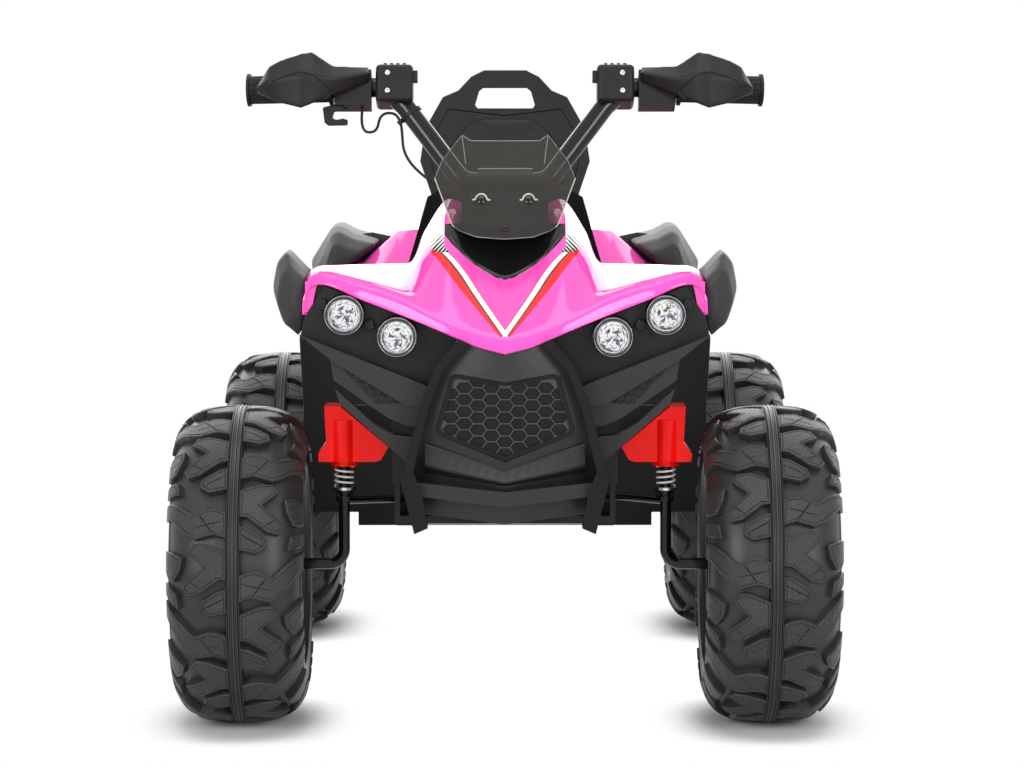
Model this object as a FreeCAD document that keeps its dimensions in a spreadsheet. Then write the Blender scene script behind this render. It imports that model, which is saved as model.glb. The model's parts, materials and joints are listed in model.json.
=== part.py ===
"""Kids quad bike: a battery ride-on with four chunky wheels, sprung front kingpins and handlebar steering.

Frame: millimetres, +Z up, the quad faces -Y, +X is the rider's left. The origin lies on the ground,
midway between the axles.
"""
import FreeCAD, Part
import math
import os
import re

import Sketcher
from FreeCAD import Vector

doc = FreeCAD.newDocument("KidsQuad")

# Driving dimensions, in millimetres, degrees and counts; a text value follows from others
SIZES = {
    # wheels and axles
    "wheel_base": 680.0,
    "front_half_track": 281.0,
    "rear_half_track": 272.0,
    "tyre_radius": 170.0,
    "tyre_width": 142.0,
    "tread_depth": 11.0,
    "tread_pitches": 14.0,
    "rib_width": 15.0,
    "rim_radius": "=tyre_radius*0.588235",
    "rim_wall": 5.0,
    "hub_radius": 22.0,
    "hub_inner": 36.0,
    "hub_outer": 44.0,
    "cap_wall": 6.0,
    "web_place": 20.0,
    "web_dish": 8.0,
    "barrel_half": 52.0,
    "spoke_width": 16.0,
    "spoke_flare": 5.0,
    "spoke_tall": 9.0,
    "spoke_count": 5.0,
    "axle_radius": 6.0,
    "running_gap": 0.06,
    "seat_gap": 0.3,
    # front suspension and steering
    "kingpin_x": "=front_half_track - 109",
    "kingpin_top": 318.0,
    "kingpin_bend": 16.0,
    "suspension_travel": 8.0,
    "spring_bottom": 253.0,
    "spring_top": 276.0,
    "spring_radius": 9.5,
    "spring_wire": 2.3,
    "spring_turns": 3.5,
    "collar_radius": 12.5,
    "collar_thick": 3.0,
    "bracket_bottom": 282.0,
    "bracket_top": 341.0,
    "bracket_depth": 46.0,
    "boss_radius": 15.0,
    "steer_arm": 45.0,
    "arm_thick": 5.0,
    "arm_z": 238.0,
    "arm_width": 18.0,
    "tie_rod_dia": 8.0,
    "pin_radius": 3.0,
    "pin_gap": 0.5,
    "rod_drop": 1.5,
    "rake_deg": 15.0,
    "column_radius": 9.0,
    "column_y": 140.0,
    "column_z": 572.0,
    "column_bottom": 227.0,
    "crank_z": 262.0,
    "crank_width": 20.0,
    "crank_thick": 6.0,
    "eye_radius": 11.5,
    "eye_thick": 8.0,
    "eye_gap": 2.6,
    # handlebar and controls
    "bar_radius": 11.0,
    "bar_bend": 26.0,
    "bar_flat": 46.0,
    "bar_rise": 108.0,
    "bar_sweep": 14.0,
    "bar_half_width": 281.0,
    "sleeve_half": 30.0,
    "sleeve_radius": 16.0,
    "grip_start": 190.0,
    "grip_radius": 15.5,
    "grip_flange": 19.0,
    "grip_wall": 3.0,
    "grip_grooves": 16.0,
    "box_inner": 101.0,
    "box_outer": 142.0,
    "box_tall": 42.0,
    "box_deep": 46.0,
    "box_round": 5.0,
    "button_side": 12.0,
    "button_travel": 3.0,
    "clamp_inner": 147.0,
    "clamp_outer": 187.0,
    "clamp_wall": 5.0,
    "clamp_drop": 24.0,
    "guard_ahead": 44.0,
    "guard_wall": 4.0,
    "lever_reach": 30.0,
    "lever_drop": 24.0,
    "lever_width": 9.0,
    "cable_radius": 1.5,
    # chassis
    "tray_half_width": 166.0,
    "tray_bottom": 180.0,
    "tray_wall": 6.0,
    "board_bottom": 195.0,
    "board_top": 216.0,
    "board_half_width": 252.0,
    "board_front": 245.0,
    "board_rear": 195.0,
    "tunnel_half_width": 92.0,
    "tunnel_top": 400.0,
    "nose_half_width": "=kingpin_x - 54",
    "nose_front": 84.0,
    "nose_rear": 26.0,
    "nose_bottom": 266.0,
    "nose_top": 345.0,
    "rear_half_width": 104.0,
    "rear_top": 330.0,
    "rear_end": 88.0,
    "toe_taper": 34.0,
    "tunnel_front": 112.0,
    "tunnel_rear": 140.0,
    "tunnel_slope": 45.0,
    "tunnel_foot": 206.0,
    "knee_panel": 7.0,
    "shield_lean": 215.0,
    "shield_roof": 130.0,
    "shield_drop": 90.0,
    "shield_half_width": 226.0,
    "ear_half": 26.0,
    "ear_bottom": 150.0,
    "ear_drop": 60.0,
    "ear_thick": 14.0,
    "board_ribs": 6.0,
    "rib_start": 14.0,
    "rib_thick": 6.0,
    "rib_step": "=(wheel_base - board_front - board_rear - 2*rib_start - rib_thick)/5",
    "rib_tall": 3.0,
    "floor_bottom": 214.0,
    "floor_top": 222.0,
    "floor_lead": 5.0,
    "deck_thick": 8.0,
    "deck_half_width": 60.0,
    "cup_depth": 20.0,
    "arm_reach": 13.0,
    # bodywork
    "panel_wall": 3.5,
    "hood_half_width": 208.0,
    "lamp_radius": 21.0,
    "lamp_ring": 3.5,
    "lamp_depth": 22.0,
    "lamp_front": 114.0,
    "hex_across": 12.5,
    "hex_stretch": 1.5,
    "hex_least": 0.6,
    "hex_bar": 1.3,
    "grille_thick": 4.0,
    "grille_back": 1.2,
    "grille_frame": 5.0,
    "grille_middle": 340.0,
    "grille_ahead": 130.0,
    "seat_front": "=278 - wheel_base/2",
    "seat_tall": 62.0,
    "seat_crown": 12.0,
    "back_thick": 24.0,
    "back_tilt_deg": 8.0,
    "back_y": -22.0,
    "handle_half": 37.0,
    "battery_long": 151.0,
    "battery_wide": 130.0,
    "battery_tall": 96.0,
    "control_long": 70.0,
    "control_wide": 90.0,
    "control_tall": 34.0,
    "control_space": 12.0,
    "gearbox_radius": 46.0,
    "gearbox_thick": 30.0,
    "motor_radius": 19.0,
    "motor_long": 58.0,
}

sheet = doc.addObject("Spreadsheet::Sheet", "Sizes")
for row, (alias, value) in enumerate(SIZES.items(), start=1):
    sheet.set("A%d" % row, alias)
    sheet.set("B%d" % row, str(value))
    sheet.setAlias("B%d" % row, alias)
doc.recompute()


def size(alias):
    """Give a driving dimension's value."""
    return float(sheet.get(alias))


def bound(expression):
    """Write an expression of plain aliases as one that reads the sheet."""
    return re.sub(r"\b([a-z]+_[a-z_]+)\b", r"Sizes.\1", str(expression))


FRONT = "-wheel_base/2"
REAR = "wheel_base/2"
front_y = -size("wheel_base") / 2
rear_y = size("wheel_base") / 2
subparts = []


def keep(item, label):
    """Name a finished sub-part and put it on the list that is written out."""
    item.Label = label
    subparts.append(item)
    return item


def feature(label, shape):
    """Hold a shape worked out in code as a sub-part."""
    item = doc.addObject("Part::Feature", label)
    item.Shape = shape
    return keep(item, label)


def mirrored(source, label):
    """Make the rider's right-hand copy of a left-hand sub-part."""
    item = doc.addObject("Part::Mirroring", label)
    item.Source = source
    item.Normal = Vector(1, 0, 0)
    return keep(item, label)


def new_body(label):
    """Start a sub-part that is built from sketches."""
    body = doc.addObject("PartDesign::Body", label)
    return keep(body, label)


def sketch(body, plane, outline, level):
    """Draw a closed outline, given as expressions, on a plane of the body at a level along its axis."""
    item = body.newObject("Sketcher::SketchObject", "Outline")
    role = plane + "_Plane"
    support = [face for face in body.Origin.OriginFeatures if face.Role == role][0]
    item.AttachmentSupport = [(support, "")]
    item.MapMode = "FlatFace"
    sign = "-" if plane == "XZ" else ""
    item.setExpression("AttachmentOffset.Base.z", bound("%s(%s)" % (sign, level)))
    count = len(outline)
    turns = [math.tau * k / count for k in range(count)]
    start = [Vector(math.cos(turn), math.sin(turn), 0) for turn in turns]
    for k in range(count):
        item.addGeometry(Part.LineSegment(start[k], start[(k + 1) % count]), False)
    for k in range(count):
        item.addConstraint(Sketcher.Constraint("Coincident", k, 2, (k + 1) % count, 1))
    for k, point in enumerate(outline):
        for kind, expression in zip(("DistanceX", "DistanceY"), point):
            index = item.addConstraint(Sketcher.Constraint(kind, -1, 1, k, 1, 1.0))
            item.setExpression("Constraints[%d]" % index, bound(expression))
    return item


def prism(body, plane, outline, low, high, cut=False):
    """Pad an outline, or cut it away, between two levels along the plane's axis."""
    backwards = (plane == "XZ") != cut
    profile = sketch(body, plane, outline, high if backwards else low)
    item = body.newObject("PartDesign::Pocket" if cut else "PartDesign::Pad", "Cut" if cut else "Pad")
    item.Profile = profile
    item.setExpression("Length", bound("(%s) - (%s)" % (high, low)))
    return item


def rectangle(u_low, u_high, v_low, v_high):
    """Give the four corners of a rectangle as expressions."""
    return [(u_low, v_low), (u_high, v_low), (u_high, v_high), (u_low, v_high)]


def rod_in_body(body, kind, radius, length, base, axis):
    """Add or take away a cylinder of a body that stands on a point and points along an axis."""
    item = body.newObject("PartDesign::%sCylinder" % kind, kind)
    item.setExpression("Radius", bound(radius))
    item.setExpression("Height", bound(length))
    item.Placement = FreeCAD.Placement(base, FreeCAD.Rotation(Vector(0, 0, 1), axis))
    return item


# Steering axis: a raked line through the head of the column
rake = math.radians(size("rake_deg"))
steer_axis = Vector(0, math.sin(rake), math.cos(rake))
steer_back = Vector(0, math.cos(rake), -math.sin(rake))
steer_head = Vector(0, front_y + size("column_y"), size("column_z"))


def on_column(height):
    """Give the point of the steering axis at a height above the ground."""
    return steer_head + steer_axis * ((height - steer_head.z) / steer_axis.z)


def chassis_tub():
    """Moulded tub: battery tray, footboards with ribs, seat tunnel, leg shields and rear box."""
    body = new_body("chassis_tub")
    board_y = ("%s + board_front" % FRONT, "%s - board_rear" % REAR)
    tray = rectangle("-tray_half_width", "tray_half_width", *board_y)
    prism(body, "XY", tray, "tray_bottom", "board_bottom")
    boards = [
        ("-board_half_width", "%s - board_rear" % REAR),
        ("-board_half_width", "%s + board_front + toe_taper" % FRONT),
        ("-board_half_width + toe_taper", "%s + board_front" % FRONT),
        ("board_half_width - toe_taper", "%s + board_front" % FRONT),
        ("board_half_width", "%s + board_front + toe_taper" % FRONT),
        ("board_half_width", "%s - board_rear" % REAR),
    ]
    prism(body, "XY", boards, "board_bottom", "board_top")
    tunnel = [
        ("%s + tunnel_front" % FRONT, "tunnel_foot"),
        ("%s + tunnel_front" % FRONT, "tunnel_top"),
        ("%s - tunnel_rear" % REAR, "tunnel_top"),
        ("%s - tunnel_rear + tunnel_slope" % REAR, "rear_top"),
        ("%s + rear_end" % REAR, "rear_top"),
        ("%s + rear_end" % REAR, "board_bottom"),
        ("%s - tunnel_rear" % REAR, "tray_bottom"),
        ("%s + board_front" % FRONT, "tray_bottom"),
    ]
    prism(body, "YZ", tunnel, "-tunnel_half_width", "tunnel_half_width")
    knee = [
        ("%s + shield_lean + 3*tray_wall" % FRONT, "tunnel_top - shield_drop"),
        ("%s + shield_roof + 4*tray_wall" % FRONT, "tunnel_top - tray_wall"),
        ("%s - tunnel_rear" % REAR, "tunnel_top - tray_wall"),
        ("%s - board_rear - tray_wall" % REAR, "tunnel_top - shield_drop - 3*tray_wall"),
        ("%s + board_front + shield_drop" % FRONT, "tunnel_top - shield_drop - 5*tray_wall"),
    ]
    prism(body, "YZ", knee, "-tunnel_half_width - knee_panel", "tunnel_half_width + knee_panel")
    shield = [
        ("%s + board_front" % FRONT, "board_top - tray_wall"),
        ("%s + shield_lean" % FRONT, "tunnel_top - shield_drop"),
        ("%s + shield_roof" % FRONT, "tunnel_top"),
        ("%s + shield_roof + tray_wall" % FRONT, "tunnel_top + tray_wall"),
        ("%s + shield_lean + 2*tray_wall" % FRONT, "tunnel_top - shield_drop"),
        ("%s + board_front + tray_wall" % FRONT, "board_top - tray_wall"),
    ]
    prism(body, "YZ", shield, "-shield_half_width", "shield_half_width")
    ears = rectangle("%s - ear_half" % REAR, "%s + ear_half" % REAR, "ear_bottom", "rear_top - ear_drop")
    prism(body, "YZ", ears, "-rear_half_width", "rear_half_width")
    between = rectangle("%s - ear_half" % REAR, "%s + ear_half" % REAR, "ear_bottom", "board_bottom")
    prism(body, "YZ", between, "-rear_half_width + ear_thick", "rear_half_width - ear_thick", cut=True)
    bay = rectangle(
        "-tunnel_half_width + tray_wall",
        "tunnel_half_width - tray_wall",
        "%s + board_front" % FRONT,
        "%s - tunnel_rear - tray_wall" % REAR,
    )
    prism(body, "XY", bay, "tray_bottom + tray_wall", "tunnel_top", cut=True)
    front_bay = rectangle(
        "-tunnel_half_width + tray_wall",
        "tunnel_half_width - tray_wall",
        "%s + tunnel_front + tray_wall" % FRONT,
        "%s + board_front" % FRONT,
    )
    prism(body, "XY", front_bay, "tunnel_foot + tray_wall", "tunnel_top", cut=True)
    boot = rectangle(
        "-tunnel_half_width + tray_wall",
        "tunnel_half_width - tray_wall",
        "%s - tunnel_rear + tunnel_slope" % REAR,
        "%s + rear_end - tray_wall" % REAR,
    )
    prism(body, "XY", boot, "board_bottom + 2*tray_wall", "rear_top", cut=True)
    for side in (-1, 1):
        for k in range(int(size("board_ribs"))):
            low = "%s + board_front + rib_start + %d*rib_step" % (FRONT, k)
            rib = rectangle(
                "%d*(tunnel_half_width + rib_start)" % side,
                "%d*(board_half_width - rib_start)" % side,
                low,
                low + " + rib_thick",
            )
            prism(body, "XY", rib, "board_top", "board_top + rib_tall")
    span = Vector(-size("rear_half_width") - size("ear_thick"), rear_y, size("tyre_radius"))
    wide = "2*(rear_half_width + ear_thick)"
    rod_in_body(body, "Subtractive", "axle_radius + running_gap", wide, span, Vector(1, 0, 0))
    return body


def front_subframe():
    """Front box that carries the steering column, the kingpin brackets and the nose."""
    body = new_body("front_subframe")
    depth = ("%s - nose_front" % FRONT, "%s + nose_rear" % FRONT)
    prism(body, "YZ", rectangle(*depth, "nose_bottom", "nose_top"), "-nose_half_width", "nose_half_width")
    tunnel_face = "%s + tunnel_front - seat_gap" % FRONT
    floor = rectangle("%s - floor_lead" % FRONT, tunnel_face, "floor_bottom", "floor_top")
    prism(body, "YZ", floor, "-nose_half_width", "nose_half_width")
    web = rectangle("%s - floor_lead" % FRONT, "%s + nose_rear" % FRONT, "floor_bottom", "nose_bottom")
    prism(body, "YZ", web, "nose_half_width - tray_wall", "nose_half_width")
    prism(body, "YZ", web, "-nose_half_width", "-nose_half_width + tray_wall")
    deck = rectangle("%s + nose_rear" % FRONT, tunnel_face, "nose_top - deck_thick", "nose_top")
    prism(body, "YZ", deck, "-deck_half_width", "deck_half_width")
    hollow = rectangle(
        "-nose_half_width + tray_wall",
        "nose_half_width - tray_wall",
        "%s - nose_front + tray_wall" % FRONT,
        "%s + nose_rear - tray_wall" % FRONT,
    )
    prism(body, "XY", hollow, "nose_bottom + tray_wall", "nose_top", cut=True)
    foot = on_column(size("floor_top"))
    rod_in_body(body, "Additive", "column_radius + tray_wall", "cup_depth", foot - steer_axis * 3, steer_axis)
    bore = on_column(size("column_bottom") - size("seat_gap"))
    rod_in_body(body, "Subtractive", "column_radius + running_gap", "cup_depth*2", bore, steer_axis)
    arm_ends = ("-kingpin_x - arm_reach", "kingpin_x + arm_reach")
    arms = rectangle(*arm_ends, "bracket_bottom + arm_reach", "nose_top - 7")
    back = ("%s + bracket_depth/2" % FRONT, "%s + bracket_depth/2 + 2*tray_wall" % FRONT)
    prism(body, "XZ", arms, *back)
    neck = on_column(size("nose_top") - 2 * size("deck_thick"))
    rod_in_body(body, "Subtractive", "column_radius + running_gap", "4*deck_thick", neck, steer_axis)
    return body


def rounded_path(points, radius=None):
    """Join points with straight runs and tangent arcs, of one radius or each as large as its runs allow."""
    edges = []
    start = points[0]
    for before, corner, after in zip(points, points[1:], points[2:]):
        back = before - corner
        ahead = after - corner
        half = back.getAngle(ahead) / 2
        reach = radius / math.tan(half) if radius else 0.45 * min(back.Length, ahead.Length)
        bend = reach * math.tan(half)
        back.normalize()
        ahead.normalize()
        middle = (back + ahead).normalize()
        inside = corner + middle * (bend / math.sin(half) - bend)
        edges.append(Part.LineSegment(start, corner + back * reach).toShape())
        edges.append(Part.Arc(corner + back * reach, inside, corner + ahead * reach).toShape())
        start = corner + ahead * reach
    edges.append(Part.LineSegment(start, points[-1]).toShape())
    return Part.Wire(edges)


def tube(path, radius):
    """Sweep a round bar along a path."""
    edge = path.OrderedEdges[0]
    first = edge.FirstParameter
    ring = Part.Wire(Part.makeCircle(radius, edge.valueAt(first), edge.tangentAt(first)))
    sweep = Part.BRepOffsetAPI.MakePipeShell(path)
    sweep.add(ring)
    sweep.build()
    sweep.makeSolid()
    return sweep.shape()


def rod(start, end, radius):
    """Give a straight round bar between two points."""
    return Part.makeCylinder(radius, (end - start).Length, start, end - start)


def eye(centre, axis, radius, thick):
    """Give a disc centred on a point."""
    return Part.makeCylinder(radius, thick, centre - axis * (thick / 2), axis)


def link(start, end, axis, width, thick):
    """Give a flat bar with round ends between two pins that lie along an axis."""
    along = (end - start).normalize()
    across = axis.cross(along) * (width / 2)
    lift = axis * (thick / 2)
    corners = [start + across - lift, end + across - lift, end - across - lift, start - across - lift]
    plate = Part.Face(Part.makePolygon(corners + corners[:1])).extrude(axis * thick)
    ends = [eye(start, axis, width / 2, thick), eye(end, axis, width / 2, thick)]
    return plate.fuse(ends).removeSplitter()


def rear_axle():
    """Steel bar that both rear wheels turn on."""
    item = doc.addObject("Part::Cylinder", "rear_axle")
    item.setExpression("Radius", "Sizes.axle_radius")
    item.setExpression("Height", bound("2*(rear_half_track + hub_outer - cap_wall - seat_gap)"))
    reach = size("rear_half_track") + size("hub_outer") - size("cap_wall") - size("seat_gap")
    item.Placement = FreeCAD.Placement(
        Vector(-reach, rear_y, size("tyre_radius")), FreeCAD.Rotation(Vector(0, 0, 1), Vector(1, 0, 0))
    )
    return keep(item, "rear_axle")


def rim(label, along, half_track):
    """Left-hand wheel centre: barrel, dished web, five raised spokes and a hub closed by a cap."""
    body = new_body(label)
    outline = [
        ("-hub_inner", "axle_radius + running_gap"),
        ("hub_outer - cap_wall", "axle_radius + running_gap"),
        ("hub_outer - cap_wall", "0"),
        ("hub_outer", "0"),
        ("hub_outer", "hub_radius - cap_wall"),
        ("hub_outer - cap_wall", "hub_radius"),
        ("web_place + rim_wall", "hub_radius"),
        ("web_place + rim_wall - web_dish", "rim_radius - rim_wall"),
        ("barrel_half", "rim_radius - rim_wall"),
        ("barrel_half", "rim_radius"),
        ("-barrel_half", "rim_radius"),
        ("-barrel_half", "rim_radius - rim_wall"),
        ("web_place - web_dish", "rim_radius - rim_wall"),
        ("web_place", "hub_radius"),
        ("-hub_inner", "hub_radius"),
    ]
    turned = body.newObject("PartDesign::Revolution", "Turned")
    turned.Profile = sketch(body, "XZ", outline, "0")
    turned.ReferenceAxis = (turned.Profile[0], ["H_Axis"])
    spoke = [
        ("-spoke_width/2", "hub_radius - rim_wall"),
        ("spoke_width/2", "hub_radius - rim_wall"),
        ("spoke_width/2 + spoke_flare", "rim_radius - rim_wall + rim_wall/2"),
        ("-spoke_width/2 - spoke_flare", "rim_radius - rim_wall + rim_wall/2"),
    ]
    raised = prism(body, "YZ", spoke, "web_place - web_dish", "web_place + rim_wall + spoke_tall")
    ring = body.newObject("PartDesign::PolarPattern", "Spokes")
    ring.Originals = [raised]
    ring.Axis = ([line for line in body.Origin.OriginFeatures if line.Role == "X_Axis"][0], [""])
    ring.Occurrences = int(size("spoke_count"))
    body.Tip = ring
    body.setExpression("Placement.Base.x", bound(half_track))
    body.setExpression("Placement.Base.y", bound(along))
    body.setExpression("Placement.Base.z", bound("tyre_radius"))
    return body


def tyre(label):
    """Chunky tyre about the X axis: centre rib, angled lugs that join it, shoulder blocks, round walls."""
    body = new_body(label)
    half = "tyre_width/2"
    carcass = "tyre_radius - tread_depth"
    bead = "rim_radius + running_gap"
    right = [
        ("rib_width/2", "tyre_radius"),
        ("rib_width/2", carcass),
        (half + "*0.66", carcass + " - tread_depth*0.4"),
        (half + "*0.86", carcass + " - tread_depth*1.4"),
        (half + "*0.97", carcass + " - tread_depth*2.9"),
        (half + "*0.93", carcass + " - tread_depth*4.2"),
        (half + "*0.78", bead),
    ]
    left = [("-(%s)" % across, radius) for across, radius in reversed(right)]
    turned = body.newObject("PartDesign::Revolution", "Carcass")
    turned.Profile = sketch(body, "XZ", right + left, "0")
    turned.ReferenceAxis = (turned.Profile[0], ["H_Axis"])
    pitch = "(tyre_radius*6.2832/tread_pitches)"
    lug = [
        ("rib_width/2 - 1", pitch + "*-0.10"),
        (half + "*0.34", pitch + "*0.08"),
        (half + "*0.50", pitch + "*-0.26"),
        (half + "*0.70", pitch + "*-0.20"),
        (half + "*0.70", pitch + "*0.30"),
        (half + "*0.52", pitch + "*0.34"),
        (half + "*0.30", pitch + "*0.40"),
        ("rib_width/2 - 1", pitch + "*0.16"),
    ]
    block = [
        (half + "*0.62", carcass + " - tread_depth"),
        (half + "*0.62", "tyre_radius - tread_depth*0.3"),
        (half + "*0.84", "tyre_radius - tread_depth*0.9"),
        (half, "tyre_radius - tread_depth*2.4"),
        (half, "tyre_radius - tread_depth*3.2"),
        (half + "*0.86", carcass + " - tread_depth*2.8"),
    ]
    pieces = []
    for sign in ("", "-"):
        outline = [("%s(%s)" % (sign, across), along) for across, along in lug]
        foot = carcass + " - tread_depth*0.9"
        pieces.append(prism(body, "XY", outline, foot, "tyre_radius - tread_depth*0.26"))
        outline = [("%s(%s)" % (sign, across), radius) for across, radius in block]
        pieces.append(prism(body, "XZ", outline, pitch + "*-0.20", pitch + "*0.30"))
    ring = body.newObject("PartDesign::PolarPattern", "Tread")
    ring.Originals = pieces
    ring.Axis = ([line for line in body.Origin.OriginFeatures if line.Role == "X_Axis"][0], [""])
    ring.Occurrences = int(size("tread_pitches"))
    body.Tip = ring
    return body


def kingpin():
    """Bent steel bar of the left front wheel: upright, stub axle, steering arm and two welded collars."""
    bar = size("axle_radius")
    upright = Vector(size("kingpin_x"), front_y, 0)
    level = size("tyre_radius")
    tip = size("front_half_track") + size("hub_outer") - size("cap_wall") - size("seat_gap")
    path = rounded_path(
        [
            upright + Vector(0, 0, size("kingpin_top")),
            upright + Vector(0, 0, level),
            Vector(tip, front_y, level),
        ],
        size("kingpin_bend"),
    )
    ledge = size("spring_bottom") - size("collar_thick") - size("running_gap")
    collar = size("collar_thick")
    shelf = Part.makeCylinder(bar + 3, collar, upright + Vector(0, 0, ledge - collar))
    hub_face = size("front_half_track") - size("hub_inner") - size("seat_gap")
    stop = Part.makeCylinder(
        bar + 4, collar, Vector(hub_face - collar, front_y, level), Vector(1, 0, 0)
    )
    arm_level = upright + Vector(0, 0, size("arm_z") + size("arm_thick") / 2)
    end = arm_level + Vector(0, size("steer_arm"), 0)
    arm = link(arm_level, end, Vector(0, 0, 1), size("arm_width"), size("arm_thick"))
    hole = eye(end, Vector(0, 0, 1), size("pin_radius") + size("pin_gap"), 2 * size("arm_thick"))
    return feature("kingpin_l", tube(path, bar).fuse([shelf, stop, arm]).cut(hole).removeSplitter())


def spring_seat():
    """Washer that the left spring stands on."""
    base = Vector(size("kingpin_x"), front_y, size("spring_bottom") - size("collar_thick"))
    disc = Part.makeCylinder(size("collar_radius"), size("collar_thick"), base)
    hole = Part.makeCylinder(size("axle_radius") + size("running_gap"), size("collar_thick"), base)
    return feature("spring_seat_l", disc.cut(hole))


def arc_from(start, tangent_point, end):
    """Give the arc that leaves a start towards a point and ends tangent to the line from it."""
    middle = (start + end) * 0.5
    towards = tangent_point - middle
    half_chord = (end - start).Length / 2
    turn = math.atan2(towards.Length, half_chord)
    return Part.Arc(start, middle + towards.normalize() * (half_chord * math.tan(turn / 2)), end).toShape()


def spring():
    """Left coil spring: one unbroken wire, wound as pairs of tangent arcs for each quarter turn."""
    wire = size("spring_wire")
    clear = size("running_gap")
    low = size("spring_bottom") + wire / 2 + clear
    climb = size("spring_top") - clear - wire / 2 - low
    steps = int(4 * size("spring_turns"))
    coil = size("spring_radius")
    centre = Vector(size("kingpin_x"), front_y, low)

    def place(turn):
        angle = math.tau * turn
        level = climb * turn / size("spring_turns")
        return centre + Vector(coil * math.cos(angle), coil * math.sin(angle), level)

    def heading(turn):
        angle = math.tau * turn
        slope = climb / size("spring_turns") / math.tau
        return Vector(-coil * math.sin(angle), coil * math.cos(angle), slope).normalize()

    edges = []
    for k in range(steps):
        begin, end = place(k / 4), place((k + 1) / 4)
        leave, arrive = heading(k / 4), heading((k + 1) / 4)
        span = end - begin
        both = leave + arrive
        bend = 2 * (1 - leave.dot(arrive))
        reach = (math.sqrt(span.dot(both) ** 2 + bend * span.dot(span)) - span.dot(both)) / bend
        first = begin + leave * reach
        second = end - arrive * reach
        joint = (first + second) * 0.5
        edges.append(arc_from(begin, first, joint))
        edges.append(arc_from(joint, second, end))
    gap = climb / size("spring_turns") - wire
    print("spring: least gap between turns %.2f mm" % gap)
    return feature("spring_l", tube(Part.Wire(edges), wire / 2))


def shock_bracket():
    """Left kingpin bracket: a wedge with a round bulge along the kingpin and a boss for the spring."""
    body = new_body("shock_bracket_l")
    outline = [
        ("kingpin_x + 20", "bracket_top"),
        ("kingpin_x + 3", "bracket_top"),
        ("kingpin_x - 48", "bracket_bottom + 16"),
        ("kingpin_x - 40", "bracket_bottom + 2"),
        ("kingpin_x - 34", "bracket_bottom"),
        ("kingpin_x + 26", "bracket_bottom"),
        ("kingpin_x + 27", "bracket_bottom + 8"),
        ("kingpin_x + 18", "bracket_bottom + 21"),
    ]
    prism(body, "XZ", outline, "%s - bracket_depth/2" % FRONT, "%s + bracket_depth/2" % FRONT)
    foot = Vector(size("kingpin_x"), front_y, size("bracket_bottom"))
    bulge = Vector(0, -size("bracket_depth") / 2 + size("boss_radius") - 4, 0)
    tall = "bracket_top - bracket_bottom - 14"
    rod_in_body(body, "Additive", "boss_radius", tall, foot + bulge, Vector(0, 0, 1))
    boss = Vector(size("kingpin_x"), front_y, size("spring_top"))
    rod_in_body(body, "Additive", "boss_radius", "bracket_bottom - spring_top", boss, Vector(0, 0, 1))
    rod_in_body(
        body,
        "Subtractive",
        "axle_radius + running_gap",
        "kingpin_top + suspension_travel + 3 - spring_top",
        boss,
        Vector(0, 0, 1),
    )
    return body


# Crank at the foot of the column, with the eyes of both tie rods under it on one pin
crank_centre = on_column(size("crank_z"))
crank_pin = crank_centre + steer_back * size("steer_arm")
first_eye = (size("crank_thick") + size("eye_thick")) / 2 + size("seat_gap")
second_eye = first_eye + size("eye_thick") + size("eye_gap")


def steering_column():
    """Raked steel column with its crank, crank pin and the sleeve that holds the handlebar."""
    foot = on_column(size("column_bottom"))
    stem = rod(foot, steer_head, size("column_radius"))
    crank = link(crank_centre, crank_pin, steer_axis, size("crank_width"), size("crank_thick"))
    reach = steer_axis * (second_eye + size("eye_thick") / 2 + size("pin_gap"))
    pin = rod(crank_pin - reach, crank_pin, size("pin_radius"))
    half = Vector(size("sleeve_half"), 0, 0)
    sleeve = rod(steer_head - half, steer_head + half, size("sleeve_radius"))
    bore = rod(steer_head - half * 2, steer_head + half * 2, size("bar_radius") + size("running_gap"))
    return feature("steering_column", stem.fuse([crank, pin, sleeve]).cut(bore).removeSplitter())


def tie_rod(label, side, drop):
    """Bar from the crank pin to a steering arm, with an eye at one end and an upright pin at the other."""
    centre = crank_pin - steer_axis * drop
    bar = size("tie_rod_dia") / 2
    end = Vector(
        side * size("kingpin_x"), front_y + size("steer_arm"), size("arm_z") - bar - size("rod_drop")
    )
    ring = eye(centre, steer_axis, size("eye_radius"), size("eye_thick"))
    hole = eye(centre, steer_axis, size("pin_radius") + size("running_gap"), 3 * size("eye_thick"))
    shank = rod(centre + (end - centre).normalize() * (size("eye_radius") - size("pin_gap")), end, bar)
    knob = Part.makeSphere(bar + 0.6, end)
    top = size("arm_z") + size("arm_thick") + size("suspension_travel") + 4
    pin = rod(end, Vector(end.x, end.y, top), size("pin_radius"))
    return feature(label, shank.fuse([ring, knob, pin]).cut(hole).removeSplitter())


def bar_place(across, rise, ahead=0.0):
    """Give a point of the handlebar's raked plane: across, up along the column, and ahead of it."""
    return steer_head + Vector(across, 0, 0) + steer_axis * rise - steer_back * ahead


def bar_path():
    """Route of the handlebar tube, from the right-hand grip to the left-hand one."""
    rise = size("bar_rise")
    half = [
        bar_place(size("bar_flat"), 0),
        bar_place(size("box_inner") + 9, rise * 0.8),
        bar_place(size("box_outer") - 8, rise),
        bar_place(size("bar_half_width"), rise, -size("bar_sweep")),
    ]
    other = [Vector(-point.x, point.y, point.z) for point in reversed(half)]
    return rounded_path(other + half, size("bar_bend"))


def handlebar():
    """Bent steel tube; its ends are closed."""
    return feature("handlebar", tube(bar_path(), size("bar_radius")))


def grip_line(across):
    """Give a point on the straight left-hand end of the handlebar."""
    inner, outer = size("box_outer") - 8, size("bar_half_width")
    share = (across - inner) / (outer - inner)
    return bar_place(across, size("bar_rise"), -size("bar_sweep") * share)


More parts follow.
